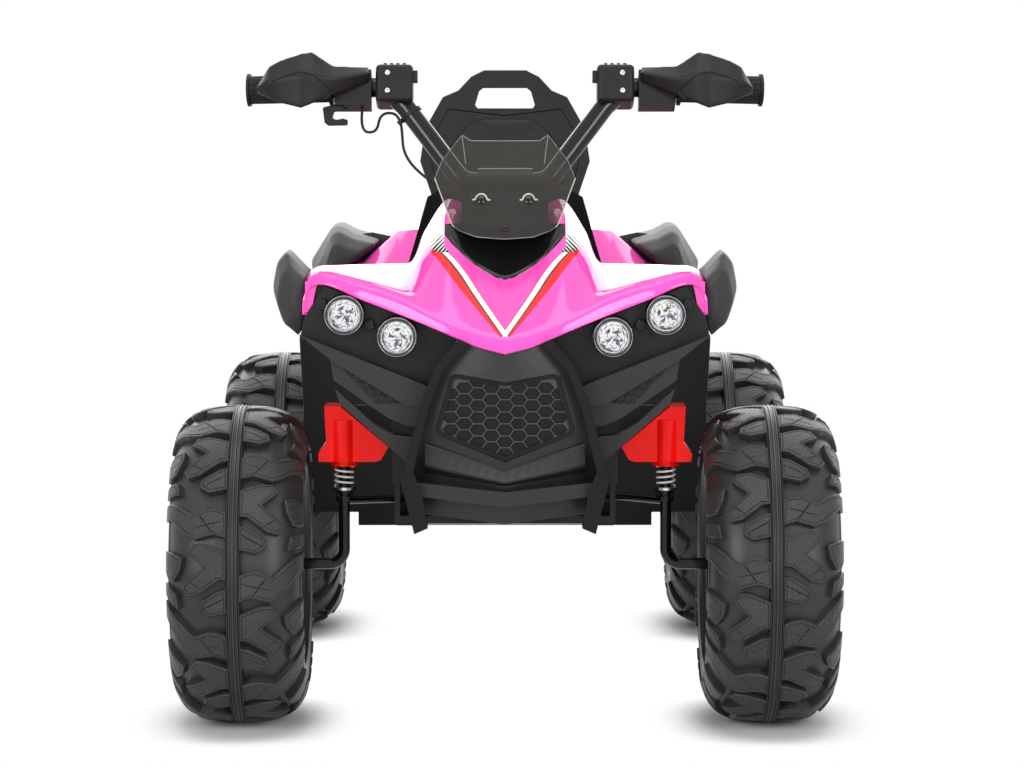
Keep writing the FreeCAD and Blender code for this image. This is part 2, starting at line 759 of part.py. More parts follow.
def grip():
    """Left rubber grip: lengthwise grooves, an inner flange and a closed end."""
    start = grip_line(size("grip_start"))
    end = grip_line(size("bar_half_width"))
    along = (end - start).normalize()
    tip = end + along * size("grip_wall")
    sleeve = rod(start, tip, size("grip_radius"))
    flange = rod(start, start + along * size("grip_wall"), size("grip_flange"))
    stop = rod(tip - along * size("grip_wall"), tip, size("grip_flange") - 1)
    cutters = []
    count = int(size("grip_grooves"))
    for k in range(count):
        groove = rod(start + along * 6, tip - along * 6, 1.2)
        out = FreeCAD.Rotation(along, 360.0 * k / count).multVec(Vector(0, 0, size("grip_radius") + 0.3))
        groove.translate(out)
        cutters.append(groove)
    bore = rod(start - along, end + along * size("running_gap"), size("bar_radius") + size("running_gap"))
    return feature("grip_l", sleeve.fuse([flange, stop]).cut(cutters + [bore]).removeSplitter())


def block(inner, outer, below, above, ahead, behind):
    """Give a box in the handlebar's raked frame, measured from the column's head."""
    corner = bar_place(inner, below, ahead)
    edges = [Vector(outer - inner, 0, 0), steer_back * (ahead + behind), steer_axis * (above - below)]
    far = corner + edges[0] + edges[1]
    base = Part.makePolygon([corner, corner + edges[0], far, corner + edges[1], corner])
    return Part.Face(base).extrude(edges[2])


def softened(solid, radius):
    """Round every edge of a plain block."""
    return solid.makeFillet(radius, solid.Edges)


def bar_bore():
    """Space that the handlebar takes, with its fitting gap."""
    return tube(bar_path(), size("bar_radius") + size("running_gap"))


def button_place():
    """Give how far up the left switch box its button sits."""
    return size("bar_rise") + 9


def switch_box():
    """Left switch box, clamped round the handlebar, with a ridged top and a pocket for its button."""
    rise = size("bar_rise")
    tall = size("box_tall") / 2
    deep = size("box_deep") / 2
    case = block(size("box_inner"), size("box_outer"), rise - tall, rise + tall, deep, deep)
    case = softened(case, size("box_round"))
    ridges = []
    for k in range(4):
        place = size("box_inner") + 8 + 7 * k
        ridges.append(block(place, place + 3.5, rise + tall - 2, rise + tall + 2.5, deep - 8, deep - 8))
    side = size("button_side") / 2 + size("seat_gap")
    pocket = block(
        size("box_inner") - 1,
        size("box_inner") + size("button_travel") + 5,
        button_place() - side,
        button_place() + side,
        deep - 6,
        -deep + 6 + 2 * side,
    )
    return feature("switch_box_l", case.fuse(ridges).cut([bar_bore(), pocket]).removeSplitter())


def switch_button():
    """Left push button, proud of the inner face of its box by a little more than its travel."""
    side = size("button_side") / 2
    deep = size("box_deep") / 2
    gap = size("seat_gap")
    inner = size("box_inner") - size("button_travel") - 2
    outer = size("box_inner") + 5 - gap
    front = deep - 6 - gap
    middle = button_place()
    solid = block(inner, outer, middle - side, middle + side, front, 2 * side - front)
    return feature("switch_button_l", solid)


def hand_guard():
    """Left hand guard: a pointed, ridged shell ahead of the grip."""
    # each row: place across, lower edge, ridge and upper edge from the bar, and how far ahead
    rows = [
        (149, 2, 10, 19, 24),
        (188, -17, 0, 17, 36),
        (211, -28, 2, 31, 44),
        (223, -33, 1, 29, 45),
        (247, -26, -2, 22, 41),
        (259, -20, -4, 16, 38),
        (272, -13, -9, -5, 30),
    ]
    wall = size("guard_wall")
    rings = []
    for across, low, ridge, high, lead in rows:
        ahead = lead * size("guard_ahead") / 44
        front = [(low, ahead - 6), (ridge, ahead + 4), (high, ahead - 8)]
        back = [(rise, lead - wall) for rise, lead in reversed(front)]
        points = [bar_place(across, size("bar_rise") + rise, lead) for rise, lead in front + back]
        rings.append(Part.makePolygon(points + points[:1]))
    return feature("hand_guard_l", Part.makeLoft(rings, True, True))


def guard_clamp(guard):
    """Left clamp of the hand guard, with a block under the bar."""
    rise = size("bar_rise")
    reach = size("bar_radius") + size("clamp_wall")
    inner, outer = size("clamp_inner"), size("clamp_outer")
    collar = block(inner, outer, rise - size("clamp_drop"), rise + reach, reach, reach)
    nose = block(inner + 2, inner + 26, rise + 2, rise + reach - 2, size("guard_ahead"), 0)
    cutters = [bar_bore()] + [guard.Shape.translated(-steer_back * step) for step in (0, 6, 12)]
    solid = collar.fuse(nose).cut(cutters)
    return max(solid.Solids, key=lambda piece: piece.Volume)


def flipped(shape):
    """Give the mirror image of a shape on the rider's right."""
    return shape.mirror(Vector(0, 0, 0), Vector(1, 0, 0))


# Pivot of the thumb lever, under the right-hand clamp
lever_x = -size("clamp_outer") + 11
lever_floor = size("bar_rise") - size("clamp_drop")


def throttle_housing(clamp):
    """Right clamp, which also carries the pivot of the thumb lever."""
    low, high = (bar_place(lever_x, lever_floor + step) for step in (-1, 9))
    bore = rod(low, high, size("pin_radius") + size("running_gap"))
    return feature("throttle_housing", flipped(clamp).cut(bore).removeSplitter())


def throttle_lever():
    """Thumb lever: a pivot pin, a hub and an arm that turns down at its end."""
    top = lever_floor - size("seat_gap")
    thick = 6
    pin = rod(bar_place(lever_x, top - thick), bar_place(lever_x, lever_floor + 8), size("pin_radius"))
    hub = rod(bar_place(lever_x, top - thick), bar_place(lever_x, top), size("lever_width") - 1)
    half = size("lever_width") / 2
    tip = lever_x - size("lever_reach")
    arm = block(tip, lever_x, top - thick, top, half, half)
    pad = block(tip, tip + 7, top - size("lever_drop"), top, half, half + 4)
    return feature("throttle_lever", pin.fuse([hub, arm, pad]).removeSplitter())


# Route of the throttle cable: across, up the column and ahead of the bar, from the housing to the sleeve
TIED_PLACE = (-114.6, 69, 0)
CABLE_ROUTE = [
    (-157, 84, 0),
    (-160, 58, 0),
    (-141, 56, 0),
    (-137.5, 77.5, 0),
    (-121.8, 79.5, 0),
    TIED_PLACE,
    (-113, 54, 0),
    (-112, 38, -2),
    (-105, 24, -4),
    (-93, 12, -6),
    (-78, 1, -8),
    (-62, -8, -8),
    (-46, -12, -8),
    (-30, -12, -8),
]


def throttle_cable():
    """Wire from the throttle housing, tied to the bar, down to the sleeve of the column."""
    points = [bar_place(*place) for place in CABLE_ROUTE]
    path = rounded_path(points)
    bends = [edge.Curve.Radius for edge in path.Edges if hasattr(edge.Curve, "Radius")]
    print("throttle cable: length %.0f mm, radii %s" % (path.Length, ["%.0f" % bend for bend in bends]))
    return feature("throttle_cable", tube(path, size("cable_radius")))


def cable_tie(cable):
    """Band that holds the throttle cable to the handlebar."""
    tied = CABLE_ROUTE.index(TIED_PLACE)
    before, held, after = (bar_place(*place) for place in CABLE_ROUTE[tied - 1 : tied + 2])
    upper = bar_place(-size("box_inner") - 9, size("bar_rise") * 0.8)
    stem = (upper - bar_place(-size("bar_flat"), 0)).normalize()
    foot = bar_place(-size("bar_flat"), 0)
    centre = foot + stem * (held - foot).dot(stem)
    wire = size("cable_radius")
    band = eye(centre, stem, size("bar_radius") + 1.8, 4).fuse(eye(held, stem, wire + 2.4, 4))
    gap = size("running_gap")
    cutters = [bar_bore(), rod(before, held, wire + gap), rod(held, after, wire + gap)]
    cutters.append(Part.makeSphere(size("cable_radius") + gap, held))
    cutters.append(cable.Shape)
    return feature("cable_tie", max(band.cut(cutters).Solids, key=lambda piece: piece.Volume))


def plate(outline, ahead, behind):
    """Extrude an outline of the front view between two distances ahead of the front axle."""
    points = [Vector(x, front_y - ahead, z) for x, z in outline]
    return Part.Face(Part.makePolygon(points + points[:1])).extrude(Vector(0, ahead - behind, 0))


def both(outline):
    """Complete a half outline, drawn from the middle outwards and back, with its mirror image."""
    return outline + [(-x, z) for x, z in reversed(outline) if x > 0]


def hood():
    """Moulded hood: a pointed nose, raised shoulders beside the screen, flat wings and turned-down ends."""
    wall = size("panel_wall")
    # each row: place across, then the section from the rear edge over the front lip to the rim,
    # as pairs of distance ahead of the front axle and height
    rows = [
        (0, (-78, 528), (10, 490), (136, 422), (142, 414), (144, 404)),
        (28, (-82, 540), (0, 507), (132, 429), (139, 421), (140, 411)),
        (60, (-100, 556), (-18, 545), (125, 441), (133, 433), (134, 424)),
        (88, (-104, 520), (-15, 512), (115, 455), (124, 447), (125, 436)),
        (104, (-110, 497), (-20, 497), (105, 466), (118, 457), (120, 443)),
        (150, (-115, 494), (-10, 497), (92, 484), (106, 475), (109, 462)),
        (192, (-115, 488), (-10, 494), (78, 493), (94, 487), (98, 479)),
        (size("hood_half_width") - 2, (-112, 480), (-10, 486), (70, 486), (82, 480), (86, 470)),
    ]
    rings = []
    for across, *top in rows:
        inner = [(top[4][0] - wall, top[4][1])]
        inner += [(ahead - wall, height - wall) for ahead, height in reversed(top[1:4])]
        inner += [(top[0][0], top[0][1] - wall)]
        points = [Vector(across, front_y - ahead, height) for ahead, height in list(top) + inner]
        rings.append(Part.makePolygon(points + points[:1]))
    half = Part.makeLoft(rings, True, True)
    lobe = [(86, 470), (92, 450), (84, 440), (62, 450), (-10, 468), (-112, 470)]
    lobe += [(-112, 480), (-10, 486), (70, 486), (82, 480)]
    points = [Vector(size("hood_half_width") - 2 - wall, front_y - ahead, height) for ahead, height in lobe]
    skirt = Part.Face(Part.makePolygon(points + points[:1])).extrude(Vector(wall + 2, 0, 0))
    left = half.fuse(skirt)
    return feature("hood", left.fuse(flipped(left)).removeSplitter())


def hood_trim(cover, screen):
    """Glossy V-shaped trim in the valley of the hood, under the screen."""
    solid = plate(both([(0, 478), (50, 509), (66, 528), (0, 528)]), 30, -36)
    pieces = solid.cut([cover.Shape, screen.Shape]).Solids
    return feature("hood_trim", max(pieces, key=lambda piece: piece.CenterOfMass.z))


def windscreen():
    """Smoked screen: a curved, raked sheet with two peaks."""
    bend = Part.Arc(Vector(-95, 34, 0), Vector(0, 0, 0), Vector(95, 34, 0)).toShape()
    sheet_wire = Part.Wire([bend])
    slant = Vector(0, 66, 122)
    outer = sheet_wire.extrude(slant)
    solid = outer.extrude(Vector(0, 3, 0))
    solid.translate(Vector(0, front_y - 22, 516))
    half = [(0, 519), (30, 521), (48, 527), (56, 533), (75, 581), (67, 600), (46, 627), (37, 621), (0, 621)]
    return feature("windscreen", solid.common(plate(both(half), 60, -160)))


def dash_pod(cover, trim, screen):
    """Pod behind the screen that carries its two bosses."""
    profile = [(16, 528), (-2, 560), (-42, 566), (-72, 548), (-72, 529)]
    points = [Vector(-46, front_y - ahead, height) for ahead, height in profile]
    solid = Part.Face(Part.makePolygon(points + points[:1])).extrude(Vector(92, 0, 0))
    solid = softened(solid, 5)
    gap = Vector(0, size("seat_gap"), 0)
    solid = solid.cut([cover.Shape, trim.Shape, screen.Shape, screen.Shape.translated(gap)])
    return feature("dash_pod", max(solid.Solids, key=lambda piece: piece.Volume))


# Headlamps: across and height of each on the rider's left
LAMPS = [(167.0, 445.0, 0.0), (112.0, 423.0, 10.0)]


def lamp_spots():
    """Give the front centre of every headlamp."""
    return [
        Vector(side * x, front_y - size("lamp_front") - lead, z) for side in (1, -1) for x, z, lead in LAMPS
    ]


# Opening of the grille, from its middle outwards
GRILLE_OPENING = [(0, 378), (50, 386), (57, 383), (72, 328), (68, 321), (0, 294)]


def inset_plate(outline, inset, ahead, behind):
    """Extrude an outline of the front view that is drawn in by a margin all round."""
    points = [Vector(x, z, 0) for x, z in outline]
    wire = Part.makePolygon(points + points[:1])
    if inset:
        wire = wire.makeOffset2D(-inset)
    return plate([(vertex.X, vertex.Y) for vertex in wire.OrderedVertexes], ahead, behind)


def front_fascia(cover):
    """Black mask: grille surround and chin folded along the middle, lamp wells and layered wings."""
    # each section: distance ahead of the front axle, height in the middle, and how far the sides lie back
    line = [(142, 424), (146, 330), (132, 284), (108, 226)]
    rings = []
    for across, back in ((-104, 22), (0, 0), (104, 22)):
        front = [Vector(across, front_y - ahead + back, height) for ahead, height in line]
        rear = [point + Vector(0, 34, 0) for point in reversed(front)]
        rings.append(Part.makePolygon(front + rear + front[:1]))
    mask = Part.makeLoft(rings, True, True)
    outline = both([(0, 404), (44, 419), (66, 394), (82, 353), (100, 288), (94, 236), (0, 226)])
    back = size("nose_front") + size("seat_gap")
    mask = mask.common(plate(outline, 160, back))
    mask = mask.cut(plate(both(GRILLE_OPENING), 200, 0))
    chin = both([(0, 262), (90, 272), (92, 258), (0, 246)])
    rail = plate(chin, 128, 105)
    wing = plate([(212, 424), (86, 374), (74, 368), (74, 351), (102, 351), (180, 398)], 118, back)
    panel = plate([(182, 400), (76, 360), (80, 327), (104, 330), (122, 338), (178, 377)], 110, back)
    outline = [(177, 368), (138, 332), (120, 320), (84, 316), (86, 292), (100, 288), (172, 352)]
    strip = plate(outline, 104, back)
    outline = [(213, 424), (209, 442), (188, 474), (46, 417), (64, 394), (74, 368), (86, 374)]
    well = plate(outline, back + 8, back)
    half = wing.fuse([panel, strip, well])
    solid = mask.fuse([rail, half, flipped(half)])
    sockets = []
    for spot in lamp_spots():
        socket = size("lamp_radius") + size("running_gap")
        sockets.append(Part.makeCylinder(socket, 200, spot - Vector(0, 60, 0), Vector(0, 1, 0)))
    return feature("front_fascia", solid.cut(sockets + [cover.Shape]).removeSplitter())


def grille():
    """Closed panel in the opening of the mask, pressed with hexagon pockets."""
    edge = both(GRILLE_OPENING)
    sheet_back = size("grille_ahead") - size("grille_thick")
    solid = inset_plate(edge, size("seat_gap"), size("grille_ahead"), sheet_back)
    tall = size("hex_across")
    wide = tall * size("hex_stretch")
    inner = inset_plate(edge, size("grille_frame"), size("grille_ahead") + 1, sheet_back - 1)
    cells = []
    for column in range(-6, 7):
        for row in range(-5, 6):
            x = column * wide * 0.75
            z = size("grille_middle") + (row + (column % 2) / 2) * tall
            reach = (wide - size("hex_bar")) / 2
            rise = (tall - size("hex_bar")) / 2
            corners = [(x + reach, z), (x + reach / 2, z + rise), (x - reach / 2, z + rise)]
            corners += [(x - reach, z), (x - reach / 2, z - rise), (x + reach / 2, z - rise)]
            cell = plate(corners, size("grille_ahead") + 1, sheet_back + size("grille_back")).common(inner)
            if cell.Solids and cell.Volume > size("hex_least") * tall * wide:
                cells.append(cell)
    frame = inset_plate(edge, size("grille_frame"), size("grille_ahead") + 9, sheet_back)
    rim_ring = inset_plate(edge, size("seat_gap"), size("grille_ahead") + 2, sheet_back).cut(frame)
    return feature("grille", solid.cut(cells).fuse(rim_ring).removeSplitter())


def bumper_bar(mask, cover):
    """Left bumper bar: a flat bar that runs down beside the grille, kinks and ends in a foot."""
    outline = [(38, 419), (47, 423), (72, 394), (88, 353), (104, 287), (95, 285), (79, 352), (64, 391)]
    upper = plate(outline, 150, 122)
    lower = plate([(95, 285), (104, 287), (107, 272), (94, 220), (80, 226), (86, 262)], 142, 108)
    solid = upper.fuse(lower).removeSplitter().cut([mask.Shape, cover.Shape])
    return feature("bumper_bar_l", max(solid.Solids, key=lambda piece: piece.Volume))


def lamp_parts():
    """Four headlamps: chrome rims, cupped reflectors with a lamp dot, and clear lenses."""
    radius = size("lamp_radius")
    ring = size("lamp_ring")
    bore = radius - ring
    gap = size("running_gap")
    along = Vector(0, 1, 0)
    rims, cups, lenses = [], [], []
    for spot in lamp_spots():
        length = front_y - size("nose_front") - size("seat_gap") - spot.y
        solid = Part.makeCylinder(radius, length, spot, along)
        rims.append(solid.cut(Part.makeCylinder(bore, length, spot, along)))
        lenses.append(Part.makeCylinder(bore - gap, 2, spot + along, along))
        profile = [(bore - gap, 4), (bore - gap, 6), (8, size("lamp_depth")), (0, size("lamp_depth"))]
        dish = size("lamp_depth") - 2
        profile += [(0, 12), (2.5, 12), (2.5, dish), (6.5, dish), (bore - 2, 4)]
        points = [spot + Vector(r, y, 0) for r, y in profile]
        face = Part.Face(Part.makePolygon(points + points[:1]))
        cups.append(face.revolve(spot, along, 360))
    feature("lamp_rims", Part.makeCompound(rims))
    feature("lamp_reflectors", Part.makeCompound(cups))
    feature("lamp_lenses", Part.makeCompound(lenses))


def flare(label, axle, anchor, rows, outer, inner):
    """Left mudguard flare: a lofted cup that arches over the wheel, open below and behind."""
    reach = max(x for x, z in outer) - anchor[0]

    # each row: distance ahead of the axle, share of the full section, and how far its outside droops
    def swept(outline, places):
        rings = []
        for ahead, share, droop in places:
            points = []
            for x, z in outline:
                across = (x - anchor[0]) * share
                height = anchor[1] + (z - anchor[1]) * share - droop * max(across, 0) / reach
                points.append(Vector(anchor[0] + across, axle - ahead, height))
            rings.append(Part.makePolygon(points + points[:1]))
        return Part.makeLoft(rings, True, True)

    front = (rows[1][0] - size("panel_wall"),) + rows[1][1:]
    back = (rows[-1][0] - 1,) + rows[-1][1:]
    return feature(label, swept(outer, rows).cut(swept(inner, [front] + rows[2:-1] + [back])))


def front_flare():
    """Left front flare, against the side of the hood."""
    side = size("hood_half_width") + size("seat_gap")
    outer = [(0, 482), (23, 507), (33, 495), (38, 468), (29, 438), (10, 413), (0, 430)]
    inner = [(4, 480), (23, 500), (28, 492), (33, 468), (25, 441), (12, 402), (4, 402)]
    rows = [(68, 0.45, 34), (52, 0.85, 16), (24, 1, 0), (-40, 1, 0), (-90, 0.9, 26), (-126, 0.6, 62)]
    outlines = [[(side + x, z) for x, z in outline] for outline in (outer, inner)]
    return flare("front_flare_l", front_y, (side, 462), rows, *outlines)


def rear_body():
    """Rear mudguards and tail: both sides rise from the front, and a tail panel joins them."""
    # each section: distance ahead of the rear axle, then its outline across and up
    base = size("tunnel_top") + size("seat_gap")
    rise = [(90, base), (90, 455), (127, 453), (172, 444), (206, 440)]
    full = [(90, base), (90, 500), (127, 497), (172, 459), (206, 452)]
    tail = [(90, base), (90, 496), (122, 490), (160, 455), (188, 448)]
    wall = size("panel_wall")
    rings = []
    for ahead, outline in ((185, rise), (120, full), (-40, full), (-85, tail)):
        inner = [(x - wall / 2, z - wall) for x, z in reversed(outline[2:])]
        inner += [(outline[1][0] + wall, outline[1][1] - wall), (outline[0][0] + wall, outline[0][1])]
        points = [Vector(x, rear_y - ahead, z) for x, z in outline + inner]
        rings.append(Part.makePolygon(points + points[:1]))
    left = Part.makeLoft(rings, True, True)
    low = size("rear_top") + size("seat_gap")
    panel = Part.makeBox(2 * (90 + wall), wall, 496 - low, Vector(-90 - wall, rear_y + 85 - wall, low))
    return feature("rear_body", left.fuse([flipped(left), panel]).removeSplitter())


def rear_flare():
    """Left rear flare, outside the rear body."""
    outer = [(150, 484), (182, 492), (200, 502), (210, 500), (236, 458), (226, 432)]
    outer += [(206.3, 440), (206.3, 453.5), (172.3, 461)]
    inner = [(172, 470), (196, 495), (207, 494), (230, 457), (222, 425), (211, 425), (211, 458)]
    rows = [(150, 0.6, 60), (122, 0.9, 24), (84, 1, 0), (-10, 1, 0), (-56, 0.9, 22), (-86, 0.6, 52)]
    return flare("rear_flare_l", rear_y, (206.3, 453.5), rows, outer, inner)


def tank_cover():
    """Cover between the hood and the seat, drawn in at the knees."""
    rings = []
    end = size("seat_front") - size("seat_gap")
    base = size("tunnel_top") + size("seat_gap")
    rows = [(front_y + 148, 62, 540), (front_y + 190, 72, 528), (front_y + 235, 76, 490), (end, 80, 462)]
    for along, half, top in rows:
        outline = [(-half, base), (-half - 8, base + 30), (-half + 8, top - 16), (-half + 26, top)]
        outline += [(-x, z) for x, z in reversed(outline)]
        points = [Vector(x, along, z) for x, z in outline]
        rings.append(Part.makePolygon(points + points[:1]))
    return feature("tank_cover", Part.makeLoft(rings, True, True))


def seat():
    """Padded seat: a crowned cushion with drawn-in sides."""
    base = size("tunnel_top") + size("seat_gap")
    tall = size("seat_tall")
    rings = []
    start = size("seat_front")
    rear = rear_y + size("back_y") + 8
    rows = [(start, 66, 0), (start + 42, 76, -4), (start + 172, 82, -6), (rear_y - 80, 83, 2), (rear, 78, 12)]
    for along, half, lift in rows:
        top = base + tall + lift
        low_left, low_right = Vector(-half, along, base), Vector(half, along, base)
        high_left, high_right = Vector(-half + 8, along, top - 8), Vector(half - 8, along, top - 8)
        rings.append(
            Part.Wire(
                [
                    Part.LineSegment(low_left, low_right).toShape(),
                    Part.Arc(low_right, Vector(half + 4, along, base + tall * 0.5), high_right).toShape(),
                    Part.Arc(high_right, Vector(0, along, top - 8 + size("seat_crown")), high_left).toShape(),
                    Part.Arc(high_left, Vector(-half - 4, along, base + tall * 0.5), low_left).toShape(),
                ]
            )
        )
    return feature("seat", Part.makeLoft(rings, True))


def slanted(outline, foot, ahead, thick):
    """Extrude an outline that leans back from its foot as the backrest does."""
    lean = math.tan(math.radians(size("back_tilt_deg")))
    points = [Vector(x, rear_y + size("back_y") - ahead + (z - foot) * lean, z) for x, z in outline]
    return Part.Face(Part.makePolygon(points + points[:1])).extrude(Vector(0, thick, 0))


def backrest():
    """Backrest with a carrying handle cut through its top."""
    foot = size("rear_top") + size("seat_gap")
    half = [(0, foot), (89, foot), (89, 395), (84, 503), (92, 538), (105, 576)]
    half += [(99, 616), (77, 655), (58, 663), (42, 680), (26, 688), (0, 688)]
    outline = both(half)
    half = size("handle_half")
    handle = both([(0, 641), (half - 3, 641), (half, 645), (half - 5, 662), (half - 10, 666), (0, 666)])
    solid = slanted(outline, foot, 0, size("back_thick")).cut(slanted(handle, foot, 50, 100))
    flange = slanted(both([(0, 540), (84, 548), (92, 578), (86, 612), (70, 640), (0, 632)]), foot, 0, 7)
    return feature("backrest", solid.cut(flange).removeSplitter())


def backrest_pad():
    """Arched pad set into the front of the backrest."""
    foot = size("rear_top") + size("seat_gap")
    arch = both([(0, 541), (78, 549), (74, 585), (50, 618), (30, 629), (0, 629)])
    gap = size("seat_gap")
    return feature("backrest_pad", slanted(arch, foot, 4, 4 + 7 - gap))


def box_part(label, long, wide, tall, along, base):
    """Give a plain box, centred across, that starts at a place along and stands on a height."""
    item = doc.addObject("Part::Box", label)
    item.setExpression("Length", bound(wide))
    item.setExpression("Width", bound(long))
    item.setExpression("Height", bound(tall))
    item.setExpression("Placement.Base.x", bound("-(%s)/2" % wide))
    item.setExpression("Placement.Base.y", bound(along))
    item.setExpression("Placement.Base.z", bound(base))
    return keep(item, label)


def drive_unit():
    """Left gearbox on its ear with its hollow output shaft, and the motor on its face."""
    level = size("tyre_radius")
    near = Vector(size("rear_half_width") + size("seat_gap"), rear_y, level)
    across = Vector(1, 0, 0)
    motor_at = near + Vector(size("gearbox_thick"), -48, 22)
    case = Part.makeCylinder(size("gearbox_radius"), size("gearbox_thick"), near, across)
    thick = size("gearbox_thick")
    lobe = Part.makeCylinder(size("motor_radius") + 8, thick, motor_at - across * thick, across)
    reach = size("rear_half_track") - size("hub_inner") - size("seat_gap") - near.x
    shaft = Part.makeCylinder(size("axle_radius") + 7, reach, near, across)
    bore = Part.makeCylinder(size("axle_radius") + size("running_gap"), reach, near, across)
    gearbox = case.fuse([lobe, shaft]).cut(bore).removeSplitter()
    can = Part.makeCylinder(size("motor_radius"), size("motor_long"), motor_at, across)
    cap = Part.makeCylinder(size("motor_radius") - 8, size("motor_long") + 6, motor_at, across)
    motor = can.fuse(cap).removeSplitter()
    feature("gearboxes", Part.makeCompound([gearbox, flipped(gearbox)]))
    feature("motors", Part.makeCompound([motor, flipped(motor)]))


def copy_of(source, label, along, across):
    """Give a further wheel part of the same form on another axle end."""
    item = doc.addObject("Part::Feature", label)
    item.Shape = source.Shape.copy()
    item.Placement = FreeCAD.Placement(Vector(across, along, size("tyre_radius")), FreeCAD.Rotation())
    return keep(item, label)


def wheels():
    """Four wheels: a tyre and a wheel centre at each corner."""
    front_rim = rim("rim_fl", FRONT, "front_half_track")
    rear_rim = rim("rim_rl", REAR, "rear_half_track")
    mirrored(front_rim, "rim_fr")
    mirrored(rear_rim, "rim_rr")
    first = tyre("tyre_fl")
    first.setExpression("Placement.Base.x", bound("front_half_track"))
    first.setExpression("Placement.Base.y", bound(FRONT))
    first.setExpression("Placement.Base.z", bound("tyre_radius"))
    doc.recompute()
    copy_of(first, "tyre_fr", front_y, -size("front_half_track"))
    copy_of(first, "tyre_rl", rear_y, size("rear_half_track"))
    copy_of(first, "tyre_rr", rear_y, -size("rear_half_track"))


def front_end():
    """Kingpins, springs, brackets and steering linkage."""
    for make, name in ((kingpin, "kingpin_r"), (spring_seat, "spring_seat_r"), (spring, "spring_r")):
        mirrored(make(), name)
    mirrored(shock_bracket(), "shock_bracket_r")
    steering_column()
    tie_rod("tie_rod_l", 1, first_eye)
    tie_rod("tie_rod_r", -1, second_eye)


def controls():
    """Handlebar and everything on it."""
    handlebar()
    mirrored(grip(), "grip_r")
    mirrored(switch_box(), "switch_box_r")
    mirrored(switch_button(), "switch_button_r")
    guard = hand_guard()
    mirrored(guard, "hand_guard_r")
    clamp = guard_clamp(guard)
    feature("guard_clamp_l", clamp)
    throttle_housing(clamp)
    throttle_lever()
    cable_tie(throttle_cable())


def bodywork():
    """Hood, nose, screen, mudguards, seat and backrest."""
    cover = hood()
    screen = windscreen()
    trim = hood_trim(cover, screen)
    dash_pod(cover, trim, screen)
    mask = front_fascia(cover)
    grille()
    mirrored(bumper_bar(mask, cover), "bumper_bar_r")
    lamp_parts()
    mirrored(front_flare(), "front_flare_r")
    rear_body()
    mirrored(rear_flare(), "rear_flare_r")
    tank_cover()
    seat()
    backrest()
    backrest_pad()


def running_gear():
    """Chassis, rear axle, drive and battery."""
    chassis_tub()
    front_subframe()
    rear_axle()
    drive_unit()
    floor = "tray_bottom + tray_wall + seat_gap"
    start = "%s + board_front + control_space" % FRONT
    box_part("battery", "battery_long", "battery_wide", "battery_tall", start, floor)
    shelf = "tunnel_foot + tray_wall + seat_gap"
    start = "%s + tunnel_front + tray_wall + control_space" % FRONT
    box_part("control_box", "control_long", "control_wide", "control_tall", start, shelf)


running_gear()
wheels()
front_end()
controls()
bodywork()
doc.recompute()

# Nothing is written unless every object is sound
for item in doc.Objects:
    if "Invalid" in item.State or "Error" in item.State:
        raise RuntimeError("%s failed: %s" % (item.Label, item.State))
for item in subparts:
    if item.Shape.isNull() or not item.Shape.isValid() or not item.Shape.Solids:
        raise RuntimeError("%s has no sound solid" % item.Label)

os.makedirs("parts", exist_ok=True)
for item in subparts:
    item.Shape.exportStep("parts/%s.step" % item.Label)
print("%d sub-parts written" % len(subparts))
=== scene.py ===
# %% [markdown]
# A ride-on quad bike for children, dressed for a studio picture.
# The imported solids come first, as a fixed frame in metres. It drives towards -Y, its left is +X
# and the floor is Z = 0. Each later step either gives a solid its finish or adds a finer piece.

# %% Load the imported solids
import json
import math

import bmesh
import bpy
from mathutils import Matrix, Vector
from mathutils.bvhtree import BVHTree


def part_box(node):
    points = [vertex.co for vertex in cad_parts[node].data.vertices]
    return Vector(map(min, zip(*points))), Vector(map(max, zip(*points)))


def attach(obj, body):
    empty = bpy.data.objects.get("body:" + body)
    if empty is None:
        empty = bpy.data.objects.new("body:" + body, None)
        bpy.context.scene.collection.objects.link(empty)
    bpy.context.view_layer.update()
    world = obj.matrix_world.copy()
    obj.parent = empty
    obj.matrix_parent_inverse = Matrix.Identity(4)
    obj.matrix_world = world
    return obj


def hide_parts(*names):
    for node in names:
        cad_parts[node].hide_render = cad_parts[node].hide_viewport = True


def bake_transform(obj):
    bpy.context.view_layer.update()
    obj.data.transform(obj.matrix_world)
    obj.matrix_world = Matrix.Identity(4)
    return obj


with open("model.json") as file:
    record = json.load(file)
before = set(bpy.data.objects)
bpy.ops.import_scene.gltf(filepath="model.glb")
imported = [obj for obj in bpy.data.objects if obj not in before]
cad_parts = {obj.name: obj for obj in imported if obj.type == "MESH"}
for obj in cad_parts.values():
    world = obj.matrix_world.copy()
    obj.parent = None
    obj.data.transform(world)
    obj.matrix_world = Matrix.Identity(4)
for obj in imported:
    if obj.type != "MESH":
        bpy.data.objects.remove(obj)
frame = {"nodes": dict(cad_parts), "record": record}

scene = bpy.context.scene
nodes = frame["nodes"]
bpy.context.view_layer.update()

# %% [markdown]
# A few moves return in every later step, so each is written once here: adding a node, joining sockets,
# a sum in a node tree, putting an object in the scene, adding a modifier and skinning rows of points.

# %% Small tools
def add(tree, kind, **values):
    """Add a node and set its properties or its sockets' values."""
    node = tree.nodes.new(kind)
    for name, value in values.items():
        if hasattr(node, name):
            setattr(node, name, value)
        else:
            node.inputs[name.replace("_", " ")].default_value = value
    return node


def wire(tree, *pairs):
    """Join outputs to inputs."""
    for source, target in pairs:
        tree.links.new(source, target)


